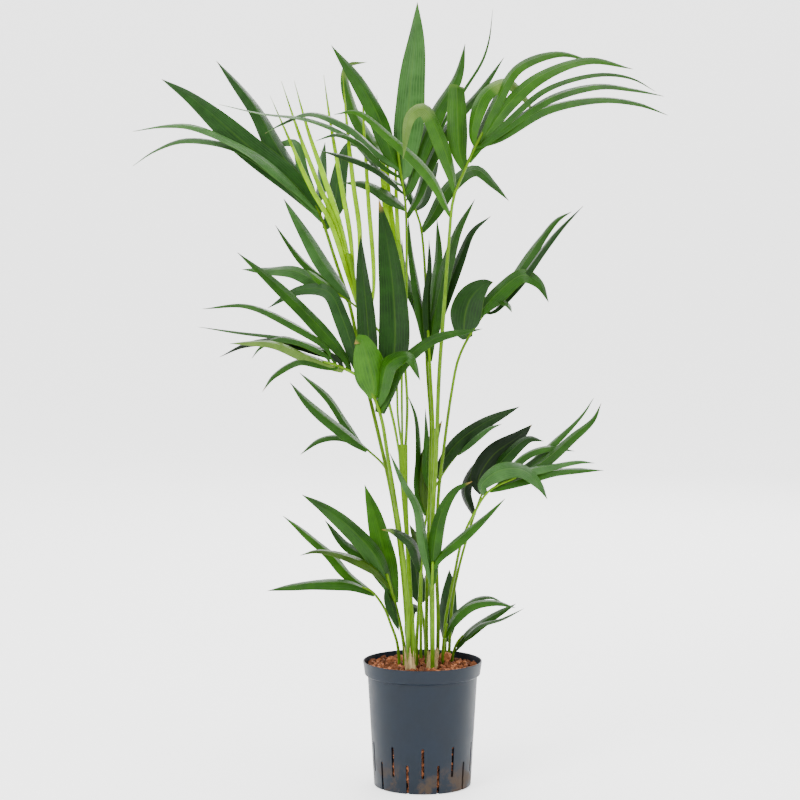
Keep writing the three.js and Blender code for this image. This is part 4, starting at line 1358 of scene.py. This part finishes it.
class PALM_OT_fibre(bpy.types.Operator):
    """Dry, ragged leaf-sheath fibre round the feet of the stalks"""
    bl_idname = "palm.fibre"
    bl_label = "Dry fibre"

    STRIPS = 30

    def execute(self, context):
        template = self.strip_template()
        material = self.dry_fibre()
        for name, wrap in FIBRE_WRAPS.items():
            rng = random.Random(name)
            strips = [self.strip(template, wrap, k / self.STRIPS, rng)
                      for k in range(self.STRIPS)]
            whole = merged(strips + [self.cuff(wrap)], name)
            whole.data.materials.clear()
            whole.data.materials.append(material)
            settle(whole, name, slot="dry_fibre")
        drop(template)
        return {"FINISHED"}

    def strip_template(self):
        deselect()
        bpy.ops.mesh.primitive_grid_add(x_subdivisions=2, y_subdivisions=9, size=1, calc_uvs=True)
        strip = started("strip_template")
        bpy.ops.transform.translate(value=(0, 0.5, 0))
        bpy.ops.object.transform_apply(location=True, rotation=True, scale=True)
        apply_modifier(strip, "SOLIDIFY", thickness=0.0006, offset=0)
        return strip

    def round_the_wrap(self, wrap, angle, radius, rise):
        """A point round the wrap, in metres. rise is 0 at the foot and 1 at the top."""
        (x, y), top = wrap["middle"], wrap["top"]
        return Vector((x + wrap["lean"] * rise + radius * math.cos(angle),
                       y + radius * math.sin(angle), FIBRE_LOW + (top - FIBRE_LOW) * rise)) * MM

    def strip(self, template, wrap, share, rng):
        angle = 2 * math.pi * share + rng.uniform(-0.12, 0.12)
        width = rng.uniform(1.2, 2.6)
        height = rng.uniform(0.62, 1.0) + (0.12 if rng.random() < 0.25 else 0)
        flare, lean = rng.uniform(-0.12, 0.22), rng.uniform(-0.25, 0.25)
        strip = copied(template, "strip")
        for vertex in strip.data.vertices:
            x, s, z = vertex.co
            taper = 1 - 0.8 * max(0, s - 0.45) / 0.55
            radius = wrap["radius"] * (1 - 0.16 * s + flare * s ** 3) + 0.4 * math.sin(9 * s + angle)
            turn = angle + lean * s + x * width * taper / wrap["radius"]
            vertex.co = self.round_the_wrap(wrap, turn, radius + z / MM, s * height)
        filled(strip.data, "shade", rng.random())
        return strip

    def cuff(self, wrap):
        """The closed layer inside the ragged strips."""
        radius, steps = wrap["radius"], 6
        cuff = turned_solid("cuff", [
            (0.3 * radius, 0), *[((0.94 - 0.22 * k / steps) * radius, 0.72 * k / steps)
                                 for k in range(steps + 1)], (0.3 * radius, 0.66)], 20)
        for vertex in cuff.data.vertices:
            x, y, rise = vertex.co
            vertex.co = self.round_the_wrap(wrap, math.atan2(y, x), math.hypot(x, y), rise)
        filled(cuff.data, "shade", 0.15)
        activate(cuff)
        bpy.ops.object.shade_smooth()
        return cuff

    def dry_fibre(self):
        palm = bpy.context.scene.palm
        material, n, shader = new_material("dry fibre", Roughness=0.9, Specular_IOR_Level=0.2)
        stretch = n.add("ShaderNodeMapping")
        n.put(stretch.inputs["Vector"], n.object_place())
        stretch.inputs["Scale"].default_value = (1, 1, 0.06)
        thread = n.noise(stretch.outputs["Vector"], 1400, 3)
        brown = [0.32 * c for c in palm.fibre]
        tone = n.math("ADD", n.ramp(thread, 0.3, 0.65),
                      n.math("MULTIPLY", n.math("SUBTRACT", n.attribute("shade"), 0.5), 0.8),
                      clamp=True)
        n.put(shader.inputs["Base Color"], n.mix(tone, brown, palm.fibre))
        n.put(shader.inputs["Normal"], n.bump(thread, 0.9, 0.0006))
        return material


# ---- Add-on ----

class PALM_PT_panel(bpy.types.Panel):
    bl_label = "Potted kentia palm"
    bl_idname = "PALM_PT_panel"
    bl_space_type = "VIEW_3D"
    bl_region_type = "UI"
    bl_category = "Palm"

    def draw(self, context):
        for settings in (context.scene.pot, context.scene.clay, context.scene.palm):
            box = self.layout.box()
            for name in settings.__annotations__:
                box.prop(settings, name)
        for operator in OPERATORS:
            self.layout.operator(operator.bl_idname)


OPERATORS = (PALM_OT_stage, PALM_OT_pot, PALM_OT_clay, PALM_OT_fibre, PALM_OT_sheath,
             PALM_OT_fronds, PALM_OT_spears)
SETTINGS = {"pot": PotSettings, "clay": ClaySettings, "palm": PalmSettings}


def register():
    for each in (*SETTINGS.values(), *OPERATORS, PALM_PT_panel):
        bpy.utils.register_class(each)
    for name, group in SETTINGS.items():
        setattr(bpy.types.Scene, name, bpy.props.PointerProperty(type=group))


def unregister():
    for name in SETTINGS:
        delattr(bpy.types.Scene, name)
    for each in (PALM_PT_panel, *reversed(OPERATORS), *reversed(SETTINGS.values())):
        bpy.utils.unregister_class(each)


def main():
    register()
    bpy.ops.palm.stage()
    bpy.ops.palm.pot()
    bpy.ops.palm.clay()
    bpy.ops.palm.fibre()
    bpy.ops.palm.sheath()
    bpy.ops.palm.fronds()
    bpy.ops.palm.spears()


if __name__ == "__main__":
    main()
